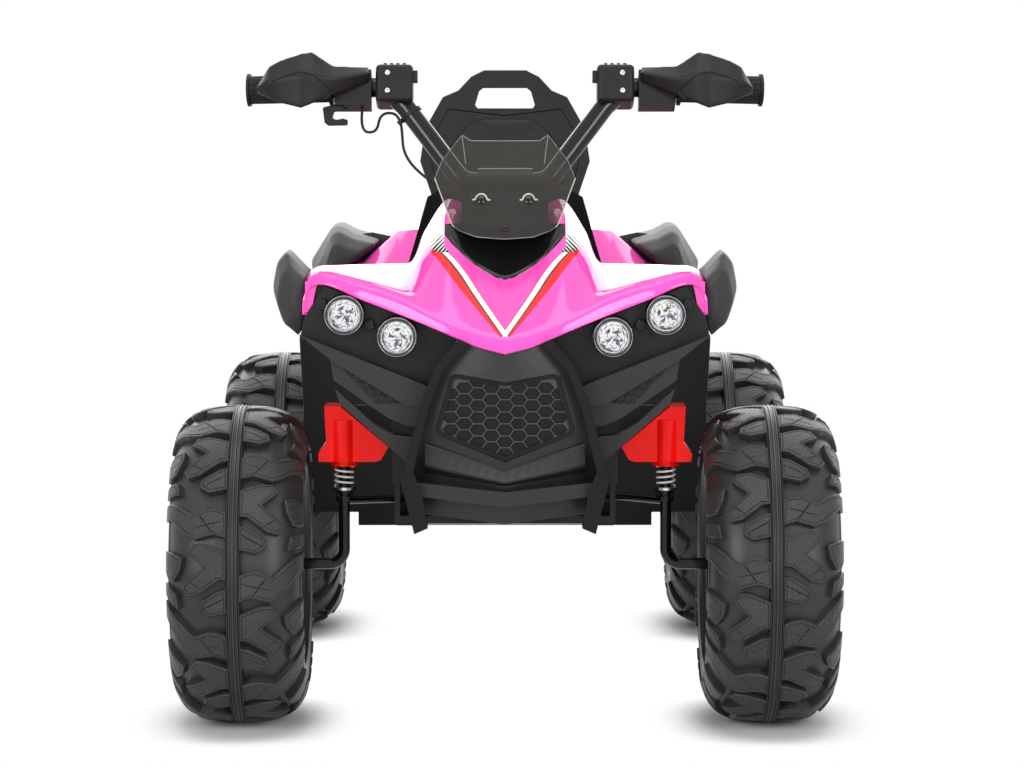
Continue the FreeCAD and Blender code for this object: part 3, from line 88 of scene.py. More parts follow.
def maths(tree, operation, *values, kind="ShaderNodeMath", **settings):
    """One sum on numbers, vectors or sockets, returned as a socket."""
    node = add(tree, kind, operation=operation, **settings)
    for socket, value in zip(node.inputs, values):
        if hasattr(value, "is_output"):
            tree.links.new(value, socket)
        else:
            socket.default_value = value
    number = kind == "ShaderNodeMath" or operation in ("LENGTH", "DOT_PRODUCT")
    return node.outputs["Value" if number else "Vector"]


def axes_of(tree):
    """Sockets X, Y and Z of a point's place."""
    axes = add(tree, "ShaderNodeSeparateXYZ")
    wire(tree, (add(tree, "ShaderNodeTexCoord").outputs["Object"], axes.inputs[0]))
    return axes.outputs


def new_material(name):
    """Make an empty material and return it with its tree and output."""
    made = bpy.data.materials.new(name)
    made.use_nodes = True
    made.node_tree.nodes.clear()
    return made, made.node_tree, made.node_tree.nodes.new("ShaderNodeOutputMaterial")


def linked(name, data):
    """Put an object made of the given data in the scene."""
    item = bpy.data.objects.new(name, data)
    scene.collection.objects.link(item)
    return item


def modifier(item, kind, **values):
    """Add a modifier and set its values."""
    made = item.modifiers.new(kind.lower(), kind)
    for name, value in values.items():
        setattr(made, name, value)
    return made


def evaluated_mesh(item, all_layers=False):
    """An object's mesh with its modifiers applied."""
    graph = bpy.context.evaluated_depsgraph_get()
    return bpy.data.meshes.new_from_object(item.evaluated_get(graph), preserve_all_data_layers=all_layers,
                                           depsgraph=graph)


def joined(skin, rows, ring=False):
    """Join rows of points by faces, each row closed on itself where it is a ring."""
    for row, beyond in zip(rows, rows[1:]):
        for k in range(0 if ring else 1, len(row)):
            skin.faces.new((row[k - 1], row[k], beyond[k], beyond[k - 1]))


def smoothed(mesh, sharp=None):
    """Shade a mesh smooth, but for the edges above an angle in degrees."""
    for face in mesh.polygons:
        face.use_smooth = True
    if sharp:
        mesh.set_sharp_from_angle(angle=math.radians(sharp))
    return mesh


def mesh_of(name, skin, finish):
    """Turn a skin into a mesh with its finish."""
    mesh = bpy.data.meshes.new(name)
    skin.to_mesh(mesh)
    mesh.materials.append(finish)
    return mesh


print("small tools are ready")

# %% [markdown]
# The picture was taken from the front with a long lens, a little above the handlebar.
# The camera's place comes from the sizes of the near and far tyres in the picture, and the tilt
# from the height of the horizon. A small shift puts the bike's middle left of the frame's middle.

# %% Camera
PICTURE = (1024, 768)
FOCAL_PIXELS = 3952
HORIZON = 20
MIDDLE = 505
SENSOR = 36

camera = linked("camera", bpy.data.cameras.new("camera"))
camera.location = (0, -4.54, 0.75)
tilt = math.atan((PICTURE[1] / 2 - HORIZON) / FOCAL_PIXELS)
camera.rotation_euler = (math.pi / 2 - tilt, 0, 0)
camera.data.sensor_width = SENSOR
camera.data.lens = SENSOR * FOCAL_PIXELS / PICTURE[0]
camera.data.shift_x = (PICTURE[0] / 2 - MIDDLE) / PICTURE[0]
scene.camera = camera
print("lens %.1f mm, tilt %.2f degrees" % (camera.data.lens, math.degrees(tilt)))

# %% [markdown]
# A studio floor that looks white to the camera but lights the bike only as a pale floor would.
# Light Path tells the two apart: camera, glossy and transmission rays see white, and the plain
# diffuse floor under that keeps the shadows between and below the tyres.

# %% Floor, backdrop and light
FLOOR_HALF = 30
WHITE = (1, 1, 1, 1)


def seen_white(tree):
    """Give 1 where the camera, a reflection or a clear pane looks at the stage."""
    rays = add(tree, "ShaderNodeLightPath").outputs
    seen = maths(tree, "MAXIMUM", rays["Is Camera Ray"], rays["Is Glossy Ray"])
    return maths(tree, "MAXIMUM", seen, rays["Is Transmission Ray"])


def studio_floor():
    """Pale floor that keeps the shadow close to the tyres and is white elsewhere."""
    made, tree, out = new_material("studio_floor")
    shade = add(tree, "ShaderNodeBsdfDiffuse", Color=(0.86, 0.86, 0.86, 1))
    white = add(tree, "ShaderNodeEmission", Color=WHITE, Strength=1.0)
    open_sky = add(tree, "ShaderNodeAmbientOcclusion", samples=12, Distance=0.075)
    fade = add(tree, "ShaderNodeMapRange", interpolation_type="SMOOTHSTEP", From_Min=0.42, From_Max=0.92)
    mix = add(tree, "ShaderNodeMixShader")
    wire(tree, (open_sky.outputs["AO"], fade.inputs["Value"]),
         (maths(tree, "MULTIPLY", fade.outputs[0], seen_white(tree)), mix.inputs[0]),
         (shade.outputs[0], mix.inputs[1]), (white.outputs[0], mix.inputs[2]),
         (mix.outputs[0], out.inputs["Surface"]))
    return made


def area_lamp(name, place, aim, size, power):
    """Soft rectangular lamp turned to a point."""
    lamp = linked(name, bpy.data.lights.new(name, "AREA"))
    lamp.data.shape = "RECTANGLE"
    lamp.data.size, lamp.data.size_y = size
    lamp.data.energy = power
    lamp.location = place
    lamp.rotation_euler = (Vector(aim) - Vector(place)).to_track_quat("-Z", "Y").to_euler()
    lamp.visible_transmission = False  # light reaches what is behind clear sheets directly, without grain


floor_mesh = bpy.data.meshes.new("floor")
floor_mesh.from_pydata([(x * FLOOR_HALF, y * FLOOR_HALF, 0) for x, y in ((-1, -1), (1, -1), (1, 1), (-1, 1))],
                       [], [(0, 1, 2, 3)])
floor_mesh.materials.append(studio_floor())
linked("floor", floor_mesh)
scene.world = bpy.data.worlds.new("studio")
scene.world.use_nodes = True
sky = scene.world.node_tree
sky.nodes.clear()
choose = add(sky, "ShaderNodeMixShader")
wire(sky, (seen_white(sky), choose.inputs[0]),
     (choose.outputs[0], add(sky, "ShaderNodeOutputWorld").inputs["Surface"]))
for slot, strength in ((1, 0.45), (2, 1.0)):
    wire(sky, (add(sky, "ShaderNodeBackground", Color=WHITE, Strength=strength).outputs[0], choose.inputs[slot]))
area_lamp("overhead", (0, -0.4, 3.0), (0, 0, 0.3), (2.2, 1.6), 26)
for name, side in (("left_box", 1), ("right_box", -1)):
    area_lamp(name, (1.8 * side, -3.5, 1.4), (0, -0.3, 0.4), (1.2, 2.0), 62)
area_lamp("behind", (0, 3.0, 1.8), (0, -0.2, 0.5), (5.2, 2.8), 110)
scene.view_settings.view_transform = "Standard"

# %% [markdown]
# Most of the bike is blow- or injection-moulded plastic, so the same small effects return on many
# finishes: a fine moulded grain, a faint unevenness left by cooling, and light rubbing and dust.
# Each is a node group, built once, and each finish places it with its own values.

# %% Shared surface effects
def new_group(name, inputs, outputs):
    """Make a shader group with number inputs and outputs and return its tree and end nodes."""
    tree = bpy.data.node_groups.new(name, "ShaderNodeTree")
    for title, value in inputs.items():
        socket = tree.interface.new_socket(title, in_out="INPUT", socket_type="NodeSocketFloat")
        socket.default_value = value
    for title in outputs:
        tree.interface.new_socket(title, in_out="OUTPUT", socket_type="NodeSocketFloat")
    return tree, tree.nodes.new("NodeGroupInput").outputs, tree.nodes.new("NodeGroupOutput").inputs


def moulded_grain():
    """Pebbled mould texture: cell walls and noise added into one height."""
    tree, given, out = new_group("moulded_grain", {"Scale": 900.0, "Cells": 0.6}, ["Height", "Patch"])
    place = add(tree, "ShaderNodeTexCoord").outputs["Object"]
    pebble = add(tree, "ShaderNodeTexVoronoi", feature="SMOOTH_F1")
    cloud = add(tree, "ShaderNodeTexNoise", Detail=3.0)
    broad = add(tree, "ShaderNodeTexNoise", Scale=9.0, Detail=2.0)
    mix = add(tree, "ShaderNodeMix")
    wire(tree, *((place, texture.inputs["Vector"]) for texture in (pebble, cloud, broad)),
         *((given["Scale"], texture.inputs["Scale"]) for texture in (pebble, cloud)),
         (given["Cells"], mix.inputs["Factor"]), (cloud.outputs[0], mix.inputs["A"]),
         (pebble.outputs["Distance"], mix.inputs["B"]), (mix.outputs["Result"], out["Height"]),
         (broad.outputs[0], out["Patch"]))
    return tree


def settled_dust():
    """Mask of fine dust: more on faces that look up, broken by noise."""
    tree, given, out = new_group("settled_dust", {"Amount": 0.2}, ["Mask"])
    axes = add(tree, "ShaderNodeSeparateXYZ")
    upward = add(tree, "ShaderNodeMapRange", interpolation_type="SMOOTHSTEP", From_Min=0.2)
    speck = add(tree, "ShaderNodeTexNoise", Scale=160.0, Detail=5.0)
    wire(tree, (add(tree, "ShaderNodeNewGeometry").outputs["Normal"], axes.inputs[0]),
         (axes.outputs["Z"], upward.inputs["Value"]),
         (add(tree, "ShaderNodeTexCoord").outputs["Object"], speck.inputs["Vector"]))
    broken = maths(tree, "MULTIPLY", upward.outputs[0], speck.outputs[0])
    wire(tree, (maths(tree, "MULTIPLY", broken, given["Amount"]), out["Mask"]))
    return tree


def rubbed_scuffs():
    """Mask of thin rubbed lines where hands, shoes and parcels have touched."""
    tree, given, out = new_group("rubbed_scuffs", {"Scale": 40.0, "Amount": 0.3}, ["Mask"])
    streak = add(tree, "ShaderNodeMapping", Scale=(1.0, 1.0, 0.16), Rotation=(0.5, 0.7, 0.3))
    lines = add(tree, "ShaderNodeTexNoise", Detail=4.0)
    thin = add(tree, "ShaderNodeMapRange", From_Min=0.62, From_Max=0.72)
    wire(tree, (add(tree, "ShaderNodeTexCoord").outputs["Object"], streak.inputs["Vector"]),
         (streak.outputs[0], lines.inputs["Vector"]), (given["Scale"], lines.inputs["Scale"]),
         (lines.outputs[0], thin.inputs["Value"]))
    wire(tree, (maths(tree, "MULTIPLY", thin.outputs[0], given["Amount"]), out["Mask"]))
    return tree


GRAIN = moulded_grain()
DUST = settled_dust()
SCUFF = rubbed_scuffs()
print("effects:", ", ".join(group.name for group in bpy.data.node_groups))

# %% [markdown]
# One recipe covers every opaque finish. The base colour shifts a little between patches, dust
# lightens it, scuffs and patches change the roughness, and the grain is a bump. Glossy mouldings
# take a stronger reflection and almost no grain; satin ones the other way round.

# %% Recipe for opaque finishes
DUST_COLOUR = (0.42, 0.41, 0.4)
PALER_TIMES, PALER_PLUS = 1.16, 0.004
PATCH_ROUGH, RUBBED_ROUGH = 0.12, 0.3
GRAIN_DEPTH = 0.0004
PINK = (0.91, 0.080, 0.45)
DULL, SHINY, METAL = {"Specular_IOR_Level": 0.22}, {"Specular_IOR_Level": 0.34}, {"Metallic": 1.0}
# each finish: colour, roughness, grain scale, share of cells, grain depth, dust, scuffs, other sockets
OPAQUE = {
    "black_satin": ((0.0085, 0.0085, 0.009), 0.42, 1100, 0.7, 0.5, 0.02, DULL),
    "black_gloss": ((0.004, 0.004, 0.0043), 0.08, 200, 0.1, 0.02, 0.01, SHINY),
    # very dark base for the grille net: painted shade in its pockets
    "grille_net": ((0.0022, 0.0022, 0.0022), 0.35, 1200, 0.6, 0.2, 0.0, DULL),
    "rim_grey": ((0.022, 0.022, 0.0235), 0.4, 1000, 0.6, 0.3, 0.05, DULL),
    "red_gloss": ((0.96, 0.004, 0.002), 0.22, 300, 0.2, 0.03, 0.0, 0.02, DULL),
    "pink_gloss": (PINK, 0.12, 200, 0.1, 0.02, 0.0, 0.05, SHINY),
    "hood_paint": (PINK, 0.09, 200, 0.1, 0.02, 0.0, 0.05, {"Coat_Weight": 0.08, **SHINY}),
    "spring_steel": ((0.62, 0.62, 0.64), 0.26, 1400, 0.2, 0.1, 0.0, METAL),
    "axle_steel": ((0.5, 0.5, 0.52), 0.32, 1400, 0.2, 0.1, 0.0, METAL),
    "black_paint": ((0.005, 0.005, 0.0054), 0.14, 600, 0.2, 0.04, 0.01, SHINY),
    "grip_rubber": ((0.009, 0.009, 0.009), 0.6, 1500, 0.5, 0.5, 0.04, DULL),
    "switch_dark": ((0.011, 0.011, 0.0115), 0.4, 1200, 0.6, 0.3, 0.03, DULL),
    "drive_grey": ((0.06, 0.06, 0.063), 0.5, 800, 0.6, 0.4, {}),
    "tyre_black": ((0.019, 0.019, 0.0188), 0.36, 1300, 0.8, 0.5, 0.05, SHINY),
    "tyre_tread": ((0.021, 0.021, 0.0208), 0.36, 1300, 0.8, 0.5, 0.05, SHINY),
    "seat_leather": ((0.0085, 0.0085, 0.009), 0.45, 900, 0.5, 0.06, 0.03, DULL),
    "flare_black": ((0.030, 0.030, 0.0305), 0.5, 1100, 0.7, 0.5, 0.02, DULL),
    "bar_black": ((0.004, 0.004, 0.0042), 0.12, 600, 0.2, 0.03, 0.0, 0.03, DULL),
    "pod_black": ((0.007, 0.007, 0.0072), 0.6, 1100, 0.7, 0.3, 0.02, {"Specular_IOR_Level": 0.0}),
    "mask_black": ((0.013, 0.013, 0.0127), 0.34, 1100, 0.7, 0.5, 0.02, SHINY),
    "lamp_chrome": ((0.88, 0.88, 0.9), 0.07, 300, 0.2, 0.02, 0.0, 0.03, METAL),
    "lamp_ring": ((0.22, 0.22, 0.225), 0.16, 300, 0.2, 0.02, 0.0, 0.03, METAL),
    # darker metal for the lamp facets that carry a painted reflection of the dark well
    "painted_reflection_chrome": ((0.16, 0.16, 0.165), 0.12, 300, 0.2, 0.02, 0.0, 0.03, METAL),
    "lamp_chip": ((0.80, 0.74, 0.36), 0.4, 900, 0.3, 0.0, 0.0, 0.0, {}),
    # pale colours for the rods on the screen: a painted highlight of its edges, creases and peg crescents
    "screen_edge": ((0.50, 0.49, 0.45), 0.18, 900, 0.2, 0.0, 0.0, 0.02, {}),
    "screen_faint_highlight": ((0.14, 0.138, 0.13), 0.22, 900, 0.2, 0.0, 0.0, 0.02, {}),
}


def blended(tree, factor, low, high):
    """Mix two colours by a mask and return the result's socket."""
    mix = add(tree, "ShaderNodeMix", data_type="RGBA")
    tree.links.new(factor, mix.inputs[0])
    for slot, value in ((6, low), (7, high)):
        if hasattr(value, "is_output"):
            tree.links.new(value, mix.inputs[slot])
        else:
            mix.inputs[slot].default_value = (*value, 1)
    return mix.outputs[2]


def opaque(name, colour, rough, grain, cells, depth, dust=0.12, scuff=0.12, **sockets):
    """Build a finish from the shared effects."""
    made, tree, out = new_material(name)
    shader = add(tree, "ShaderNodeBsdfPrincipled", **sockets)
    texture = add(tree, "ShaderNodeGroup", node_tree=GRAIN, Scale=grain, Cells=cells).outputs
    settled = add(tree, "ShaderNodeGroup", node_tree=DUST, Amount=dust).outputs["Mask"]
    rubbed = add(tree, "ShaderNodeGroup", node_tree=SCUFF, Amount=scuff).outputs["Mask"]
    paler = tuple(min(1.0, value * PALER_TIMES + PALER_PLUS) for value in colour)
    patched = blended(tree, texture["Patch"], colour, paler)
    level = maths(tree, "MULTIPLY_ADD", texture["Patch"], PATCH_ROUGH, rough - PATCH_ROUGH / 2)
    worn = maths(tree, "MULTIPLY_ADD", rubbed, RUBBED_ROUGH, level, use_clamp=True)
    wire(tree, (worn, shader.inputs["Roughness"]), (shader.outputs[0], out.inputs["Surface"]),
         (blended(tree, settled, patched, DUST_COLOUR), shader.inputs["Base Color"]))
    if depth:
        bump = add(tree, "ShaderNodeBump", Strength=depth, Distance=GRAIN_DEPTH)
        wire(tree, (texture["Height"], bump.inputs["Height"]), (bump.outputs[0], shader.inputs["Normal"]))
    return made


FINISH = {name: opaque(name, *values, **sockets) for name, (*values, sockets) in OPAQUE.items()}
print("opaque finishes:", len(FINISH))

# %% Layers over a finish
def main_shader(made):
    """The one Principled shader of a finish."""
    return next(node for node in made.node_tree.nodes if node.type == "BSDF_PRINCIPLED")


def painted(made, *layers):
    """Lay colours over a finish, each by its mask."""
    target = main_shader(made).inputs["Base Color"]
    colour = target.links[0].from_socket
    for mask, paint in layers:
        colour = blended(made.node_tree, mask, colour, paint)
    made.node_tree.links.new(colour, target)


def pressed(made, height, strength, distance):
    """Add a pressed pattern over the grain of a finish."""
    target = main_shader(made).inputs["Normal"]
    bump = add(made.node_tree, "ShaderNodeBump", Strength=strength, Distance=distance)
    wire(made.node_tree, (height, bump.inputs["Height"]), (target.links[0].from_socket, bump.inputs["Normal"]))
    made.node_tree.links.new(bump.outputs[0], target)


print("layers: colours and pressed patterns")

# %% [markdown]
# The screen is smoked acrylic and the lamp lenses are clear. Clear pieces keep one plain metallic
# and transmission value, so that the exported model stays clear too.

# %% Clear finishes
def clear(name, colour, rough, ior, through):
    """Build a clear plastic whose roughness alone varies a little."""
    made, tree, out = new_material(name)
    shader = add(tree, "ShaderNodeBsdfPrincipled", Base_Color=(*colour, 1), Transmission_Weight=through, IOR=ior)
    haze = add(tree, "ShaderNodeGroup", node_tree=SCUFF, Scale=24.0, Amount=0.05)
    level = maths(tree, "ADD", haze.outputs["Mask"], rough, use_clamp=True)
    wire(tree, (level, shader.inputs["Roughness"]), (shader.outputs[0], out.inputs["Surface"]))
    return made


FINISH["smoked_clear"] = clear("smoked_clear", (0.30, 0.29, 0.27), 0.0, 1.15, 0.92)
FINISH["lamp_clear"] = clear("lamp_clear", (0.97, 0.98, 1.0), 0.01, 1.2, 1.0)
print("finishes with the clear ones:", len(FINISH))

# %% [markdown]
# Every solid takes the finish of its slot in the record, or one of its own. Real mouldings have no
# knife edges, so a weld joins the loose triangles, a small node tree shades shallow folds as one curve,
# and a narrow bevel rounds each sharp edge. The blown flares and hand guards have no edges at all, so
# they are rebuilt in small cells and relaxed. All of these are modifiers.

# %% Dress the solids
OWN_FINISH = {"front_flare": "flare_black", "rear_flare": "flare_black", "bumper_bar": "bar_black",
              "dash_pod": "pod_black", "front_fascia": "mask_black", "grille": "grille_net"}
EDGE = {"tyre": 0.0, "spring": 0.0, "grille": 0.0004, "lamp": 0.0006, "switch": 0.0008, "hood": 0.002,
        "windscreen": 0.0}
PLAIN_EDGE = 0.0012
# cell size and rounds of relaxing
MELTED = {"front_flare": (0.0016, 70), "rear_flare": (0.0016, 70), "hand_guard": (0.0013, 24)}
FOLD = math.radians(32)
WELD = 0.00002


def smooth_by_angle(name, limit):
    """Node tree that shades every face smooth and keeps only the edges above an angle sharp."""
    tree = bpy.data.node_groups.new(name, "GeometryNodeTree")
    for way in ("INPUT", "OUTPUT"):
        tree.interface.new_socket("Geometry", in_out=way, socket_type="NodeSocketGeometry")
    shaded = add(tree, "GeometryNodeSetMeshNormal")
    steep = add(tree, "FunctionNodeCompare", operation="GREATER_THAN", B=limit)
    angle = add(tree, "GeometryNodeInputMeshEdgeAngle")
    wire(tree, (tree.nodes.new("NodeGroupInput").outputs[0], shaded.inputs["Mesh"]),
         (angle.outputs["Unsigned Angle"], steep.inputs["A"]),
         (steep.outputs[0], shaded.inputs["Edge Sharpness"]),
         (shaded.outputs[0], tree.nodes.new("NodeGroupOutput").inputs[0]))
    return tree


CRISP = smooth_by_angle("crisp", FOLD)


def soften(item, width):
    """Weld a solid's loose triangles, shade shallow folds smooth and round its sharp edges."""
    modifier(item, "WELD", merge_threshold=WELD)
    modifier(item, "NODES", node_group=CRISP)
    if width:
        modifier(item, "BEVEL", width=width, segments=2, limit_method="ANGLE", angle_limit=FOLD,
                 harden_normals=True)


def melt(item, cell, rounds):
    """Rebuild a solid in small cells and relax them, so that its flats flow into one curved skin."""
    modifier(item, "REMESH", mode="VOXEL", voxel_size=cell, use_smooth_shade=True)
    modifier(item, "SMOOTH", factor=0.5, iterations=rounds)


slot_of = {part["node"]: part["material_slot"] for part in frame["record"]["subparts"]}
for name, item in nodes.items():
    kind = name.removesuffix("_l").removesuffix("_r")
    item.data.materials.clear()
    item.data.materials.append(FINISH[OWN_FINISH.get(kind, slot_of[name])])
    if kind in MELTED:
        melt(item, *MELTED[kind])
    else:
        soften(item, EDGE.get(name.split("_")[0], PLAIN_EDGE))
nodes["windscreen"].visible_shadow = False
print("dressed solids:", len(slot_of))

# %% [markdown]
# The tyres are the largest pieces in the picture: hollow blow-moulded rings with a grooved centre
# rib and deep angular lugs that hook off it, the left half a half pitch behind the right. A revolved
# carcass alone would be bare, and cutting lugs by hand would never repeat truly. So one pitch of lugs
# is drawn flat, bent onto the carcass, and a Geometry Nodes tree turns it round the axle.

# %% Tyre section
tyre_low, tyre_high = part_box("tyre_fl")
TYRE_RADIUS = (tyre_high[2] - tyre_low[2]) / 2
TYRE_HALF = (tyre_high[0] - tyre_low[0]) / 2
RIB_HALF = 0.0075
PITCHES = 8
SECTION = [(0.0, 0.938), (0.33, 0.936), (0.56, 0.922), (0.74, 0.886), (0.88, 0.818), (0.955, 0.735),
           (0.95, 0.655), (0.88, 0.612), (0.78, 0.594)]


def through(points, parts):
    """Points of a smooth line through the given ones, each stretch cut in parts."""
    ends = [points[0], *points, points[-1]]
    line = []
    for k in range(1, len(ends) - 2):
        before, start, end, after = (Vector(ends[k + step]) for step in (-1, 0, 1, 2))
        for step in range(parts):
            t = step / parts
            line.append(0.5 * (2 * start + (end - before) * t
                               + (2 * before - 5 * start + 4 * end - after) * t ** 2
                               + (3 * start - before - 3 * end + after) * t ** 3))
    return line + [Vector(points[-1])]


section = through([(across * TYRE_HALF, radius * TYRE_RADIUS) for across, radius in SECTION], 6)
walked = [0.0]
for start, end in zip(section, section[1:]):
    walked.append(walked[-1] + (end - start).length)


def on_section(distance, out):
    """Place on half of the section: a distance from the middle, and a height out of the surface."""
    k = 1
    while k < len(walked) - 1 and walked[k] < distance:
        k += 1
    start, end = section[k - 1], section[k]
    run = end - start
    place = start + run * ((distance - walked[k - 1]) / run.length)
    return place + Vector((-run.y, run.x)).normalized() * out


print("section length %.0f mm from rib to bead" % (walked[-1] * 1000))

# %% Lugs of one pitch, drawn flat
LUG_HEIGHT, LUG_ROOT = 0.0100, -0.004
CHAMFER = 0.0011
ON_TOP = LUG_HEIGHT - 0.00001
SIPE_HALF, SIPE_DEPTH, SIPE_REACH = 0.0008, 0.0011, 0.012
# insets of a lug's top, each with its width and rise: the chamfer, a land and a narrow groove
TOP_STEPS = ((CHAMFER, CHAMFER), (0.0016, 0.0), (0.0005, -0.0007), (0.0006, 0.0), (0.0005, 0.0007))
BEND_GRID = 0.008
LONG_ARM = [(0, -4), (9, -8), (19, -9), (33, -2), (47, -15), (62, -26), (78, -32), (78, -9), (63, -5),
            (51, 7), (42, 18), (31, 25), (13, 20), (0, 24)]
HOOK = [(0, 38), (21, 29), (32, 29), (38, 38), (23, 54), (44, 75), (39, 86), (28, 84), (8, 68), (0, 67)]
SHORT_BLOCK = [(0, 77), (9, 79), (26, 90), (28, 100), (18, 107), (0, 103)]
SHOULDER = [(44, 44), (57, 37), (78, 32), (78, 61), (66, 70), (55, 72), (46, 58)]
SIDE_BAR = [(51, 86), (63, 80), (78, 76), (78, 91), (66, 97), (48, 103)]
LUGS = [(LONG_ARM, [((19, 9), (20, 5)), ((19, 9), (-8, 12))]), (HOOK, [((31, 72), (12, -10))]),
        (SHORT_BLOCK, [((12, 93), (14, 8))]), (SHOULDER, [((62, 52), (14, -8))]), (SIDE_BAR, [])]


def cut_sipe(block, middle, heading):
    """Press a narrow groove into a lug's top near a point."""
    across = Vector((-heading.y, heading.x, 0)).normalized()
    for offset in (-SIPE_HALF, 0, SIPE_HALF):
        bmesh.ops.bisect_plane(block, geom=block.verts[:] + block.edges[:] + block.faces[:],
                               plane_co=middle + across * offset, plane_no=across)
    for point in block.verts:
        near = point.co - middle
        if abs(near.dot(across)) < WELD and near.xy.length < SIPE_REACH and point.co.z > ON_TOP:
            point.co.z -= SIPE_DEPTH


def flat_lug(outline, sipes):
    """Closed block with chamfered top edges, cut into a grid fine enough to bend."""
    block = bmesh.new()
    flat = block.verts.layers.float_vector.new("flat")
    face = block.faces.new([block.verts.new((RIB_HALF - 0.001 + u / 1000, v / 1000, LUG_ROOT))
                            for u, v in outline])
    face.normal_update()
    if face.normal.z < 0:
        face.normal_flip()
    raised = bmesh.ops.extrude_face_region(block, geom=[face], use_keep_orig=True)["geom"]
    for point in (item for item in raised if isinstance(item, bmesh.types.BMVert)):
        point.co.z = LUG_HEIGHT - CHAMFER
    top = [item for item in raised if isinstance(item, bmesh.types.BMFace)]
    for thick, rise in TOP_STEPS:
        bmesh.ops.inset_individual(block, faces=top, thickness=thick, depth=rise)
    bmesh.ops.recalc_face_normals(block, faces=block.faces)
    for k in range(-6, 15):
        for normal in (Vector((1, 0, 0)), Vector((0, 1, 0))):
            bmesh.ops.bisect_plane(block, geom=block.verts[:] + block.edges[:] + block.faces[:],
                                   plane_co=normal * BEND_GRID * k, plane_no=normal)
    for point in block.verts:
        point[flat] = (point.co.x, point.co.y, point.co.z > ON_TOP)
    for middle, heading in sipes:
        cut_sipe(block, Vector((RIB_HALF + middle[0] / 1000, middle[1] / 1000, LUG_HEIGHT)), Vector(heading))
    return block


def bent(place, side):
    """Carry a point of the flat strip onto the tyre: along the tread becomes an angle."""
    across, radius = on_section(place.x, place.z * (1 - 0.6 * min(1.0, place.x / walked[-1] * 1.4) ** 2))
    angle = place.y / TYRE_RADIUS + (0 if side > 0 else math.pi / PITCHES)
    return Vector((side * across, radius * math.sin(angle), radius * math.cos(angle)))


pitch_mesh = bmesh.new()
pitch_mesh.verts.layers.float_vector.new("flat")
for outline, sipes in LUGS:
    for side in (1, -1):
        block = flat_lug(outline, sipes)
        for point in block.verts:
            point.co = bent(point.co, side)
        if side < 0:
            bmesh.ops.reverse_faces(block, faces=block.faces)
        loose = bpy.data.meshes.new("lug")
        block.to_mesh(loose)
        pitch_mesh.from_mesh(loose)
        bpy.data.meshes.remove(loose)
print("faces in one pitch of lugs:", len(pitch_mesh.faces))

# %% Tree that turns a pitch round the axle
def new_tree(name, sockets):
    """Geometry Nodes tree with a geometry in and out and named inputs between."""
    tree = bpy.data.node_groups.new(name, "GeometryNodeTree")
    tree.interface.new_socket("Geometry", in_out="INPUT", socket_type="NodeSocketGeometry")
    for title, kind in sockets.items():
        tree.interface.new_socket(title, in_out="INPUT", socket_type="NodeSocket" + kind)
    tree.interface.new_socket("Geometry", in_out="OUTPUT", socket_type="NodeSocketGeometry")
    return tree, tree.nodes.new("NodeGroupInput").outputs, tree.nodes.new("NodeGroupOutput").inputs


def closing(tree, given, out, copies):
    """End a tree as the export needs: instances made real, then the finish."""
    real = add(tree, "GeometryNodeRealizeInstances")
    finish = add(tree, "GeometryNodeSetMaterial")
    wire(tree, (copies, real.inputs[0]), (real.outputs[0], finish.inputs["Geometry"]),
         (given["Finish"], finish.inputs["Material"]), (finish.outputs[0], out[0]))


def turned_ring():
    """Copies of a shape at equal angles about X."""
    tree, given, out = new_tree("turned_ring", {"Count": "Int", "Finish": "Material"})
    spots = add(tree, "GeometryNodePoints")
    copies = add(tree, "GeometryNodeInstanceOnPoints")
    about = add(tree, "ShaderNodeCombineXYZ")
    turn = add(tree, "FunctionNodeEulerToRotation")
    step = maths(tree, "DIVIDE", 2 * math.pi, given["Count"])
    angle = maths(tree, "MULTIPLY", add(tree, "GeometryNodeInputIndex").outputs[0], step)
    wire(tree, (given["Count"], spots.inputs["Count"]), (angle, about.inputs["X"]),
         (about.outputs[0], turn.inputs[0]), (spots.outputs[0], copies.inputs["Points"]),
         (given["Geometry"], copies.inputs["Instance"]), (turn.outputs[0], copies.inputs["Rotation"]))
    closing(tree, given, out, copies.outputs[0])
    return tree


def grown(mesh, tree, **values):
    """Run a tree on a mesh and return the result as a plain mesh."""
    carrier = linked("carrier", mesh)
    growth = modifier(carrier, "NODES", node_group=tree)
    for socket in tree.interface.items_tree:
        if socket.in_out == "INPUT" and socket.name in values:
            growth[socket.identifier] = values[socket.name]
    result = evaluated_mesh(carrier, all_layers=True)
    bpy.data.objects.remove(carrier)
    return result


lugs = bpy.data.meshes.new("pitch")
pitch_mesh.to_mesh(lugs)
tread = grown(lugs, turned_ring(), Count=PITCHES, Finish=FINISH["tyre_black"])
print("faces in a whole tread:", len(tread.polygons))

# %% Knurled rubber of the tread
KNURL = 0.0031


def knurl(made):
    """Press fine diamonds into the tops of the lugs, from their flat places."""
    tree = made.node_tree
    axes = add(tree, "ShaderNodeSeparateXYZ")
    wire(tree, (add(tree, "ShaderNodeAttribute", attribute_name="flat").outputs["Vector"], axes.inputs[0]))
    waves = []
    for operation in ("ADD", "SUBTRACT"):
        slant = maths(tree, operation, axes.outputs["X"], axes.outputs["Y"])
        waves.append(maths(tree, "SINE", maths(tree, "MULTIPLY", slant, 2 * math.pi / KNURL)))
    diamonds = maths(tree, "MULTIPLY", maths(tree, "MAXIMUM", *waves), axes.outputs["Z"])
    pressed(made, diamonds, 0.5, 0.0005)


knurl(FINISH["tyre_tread"])
print("knurl pitch %.1f mm" % (KNURL * 1000))

# %% Carcass with rib and side rings
GROOVE = SIDE_RING = 0.0014
ROUND_STEPS = 112
SIDE_RINGS = ((0.083, 0.088), (0.099, 0.103), (0.110, 0.113))


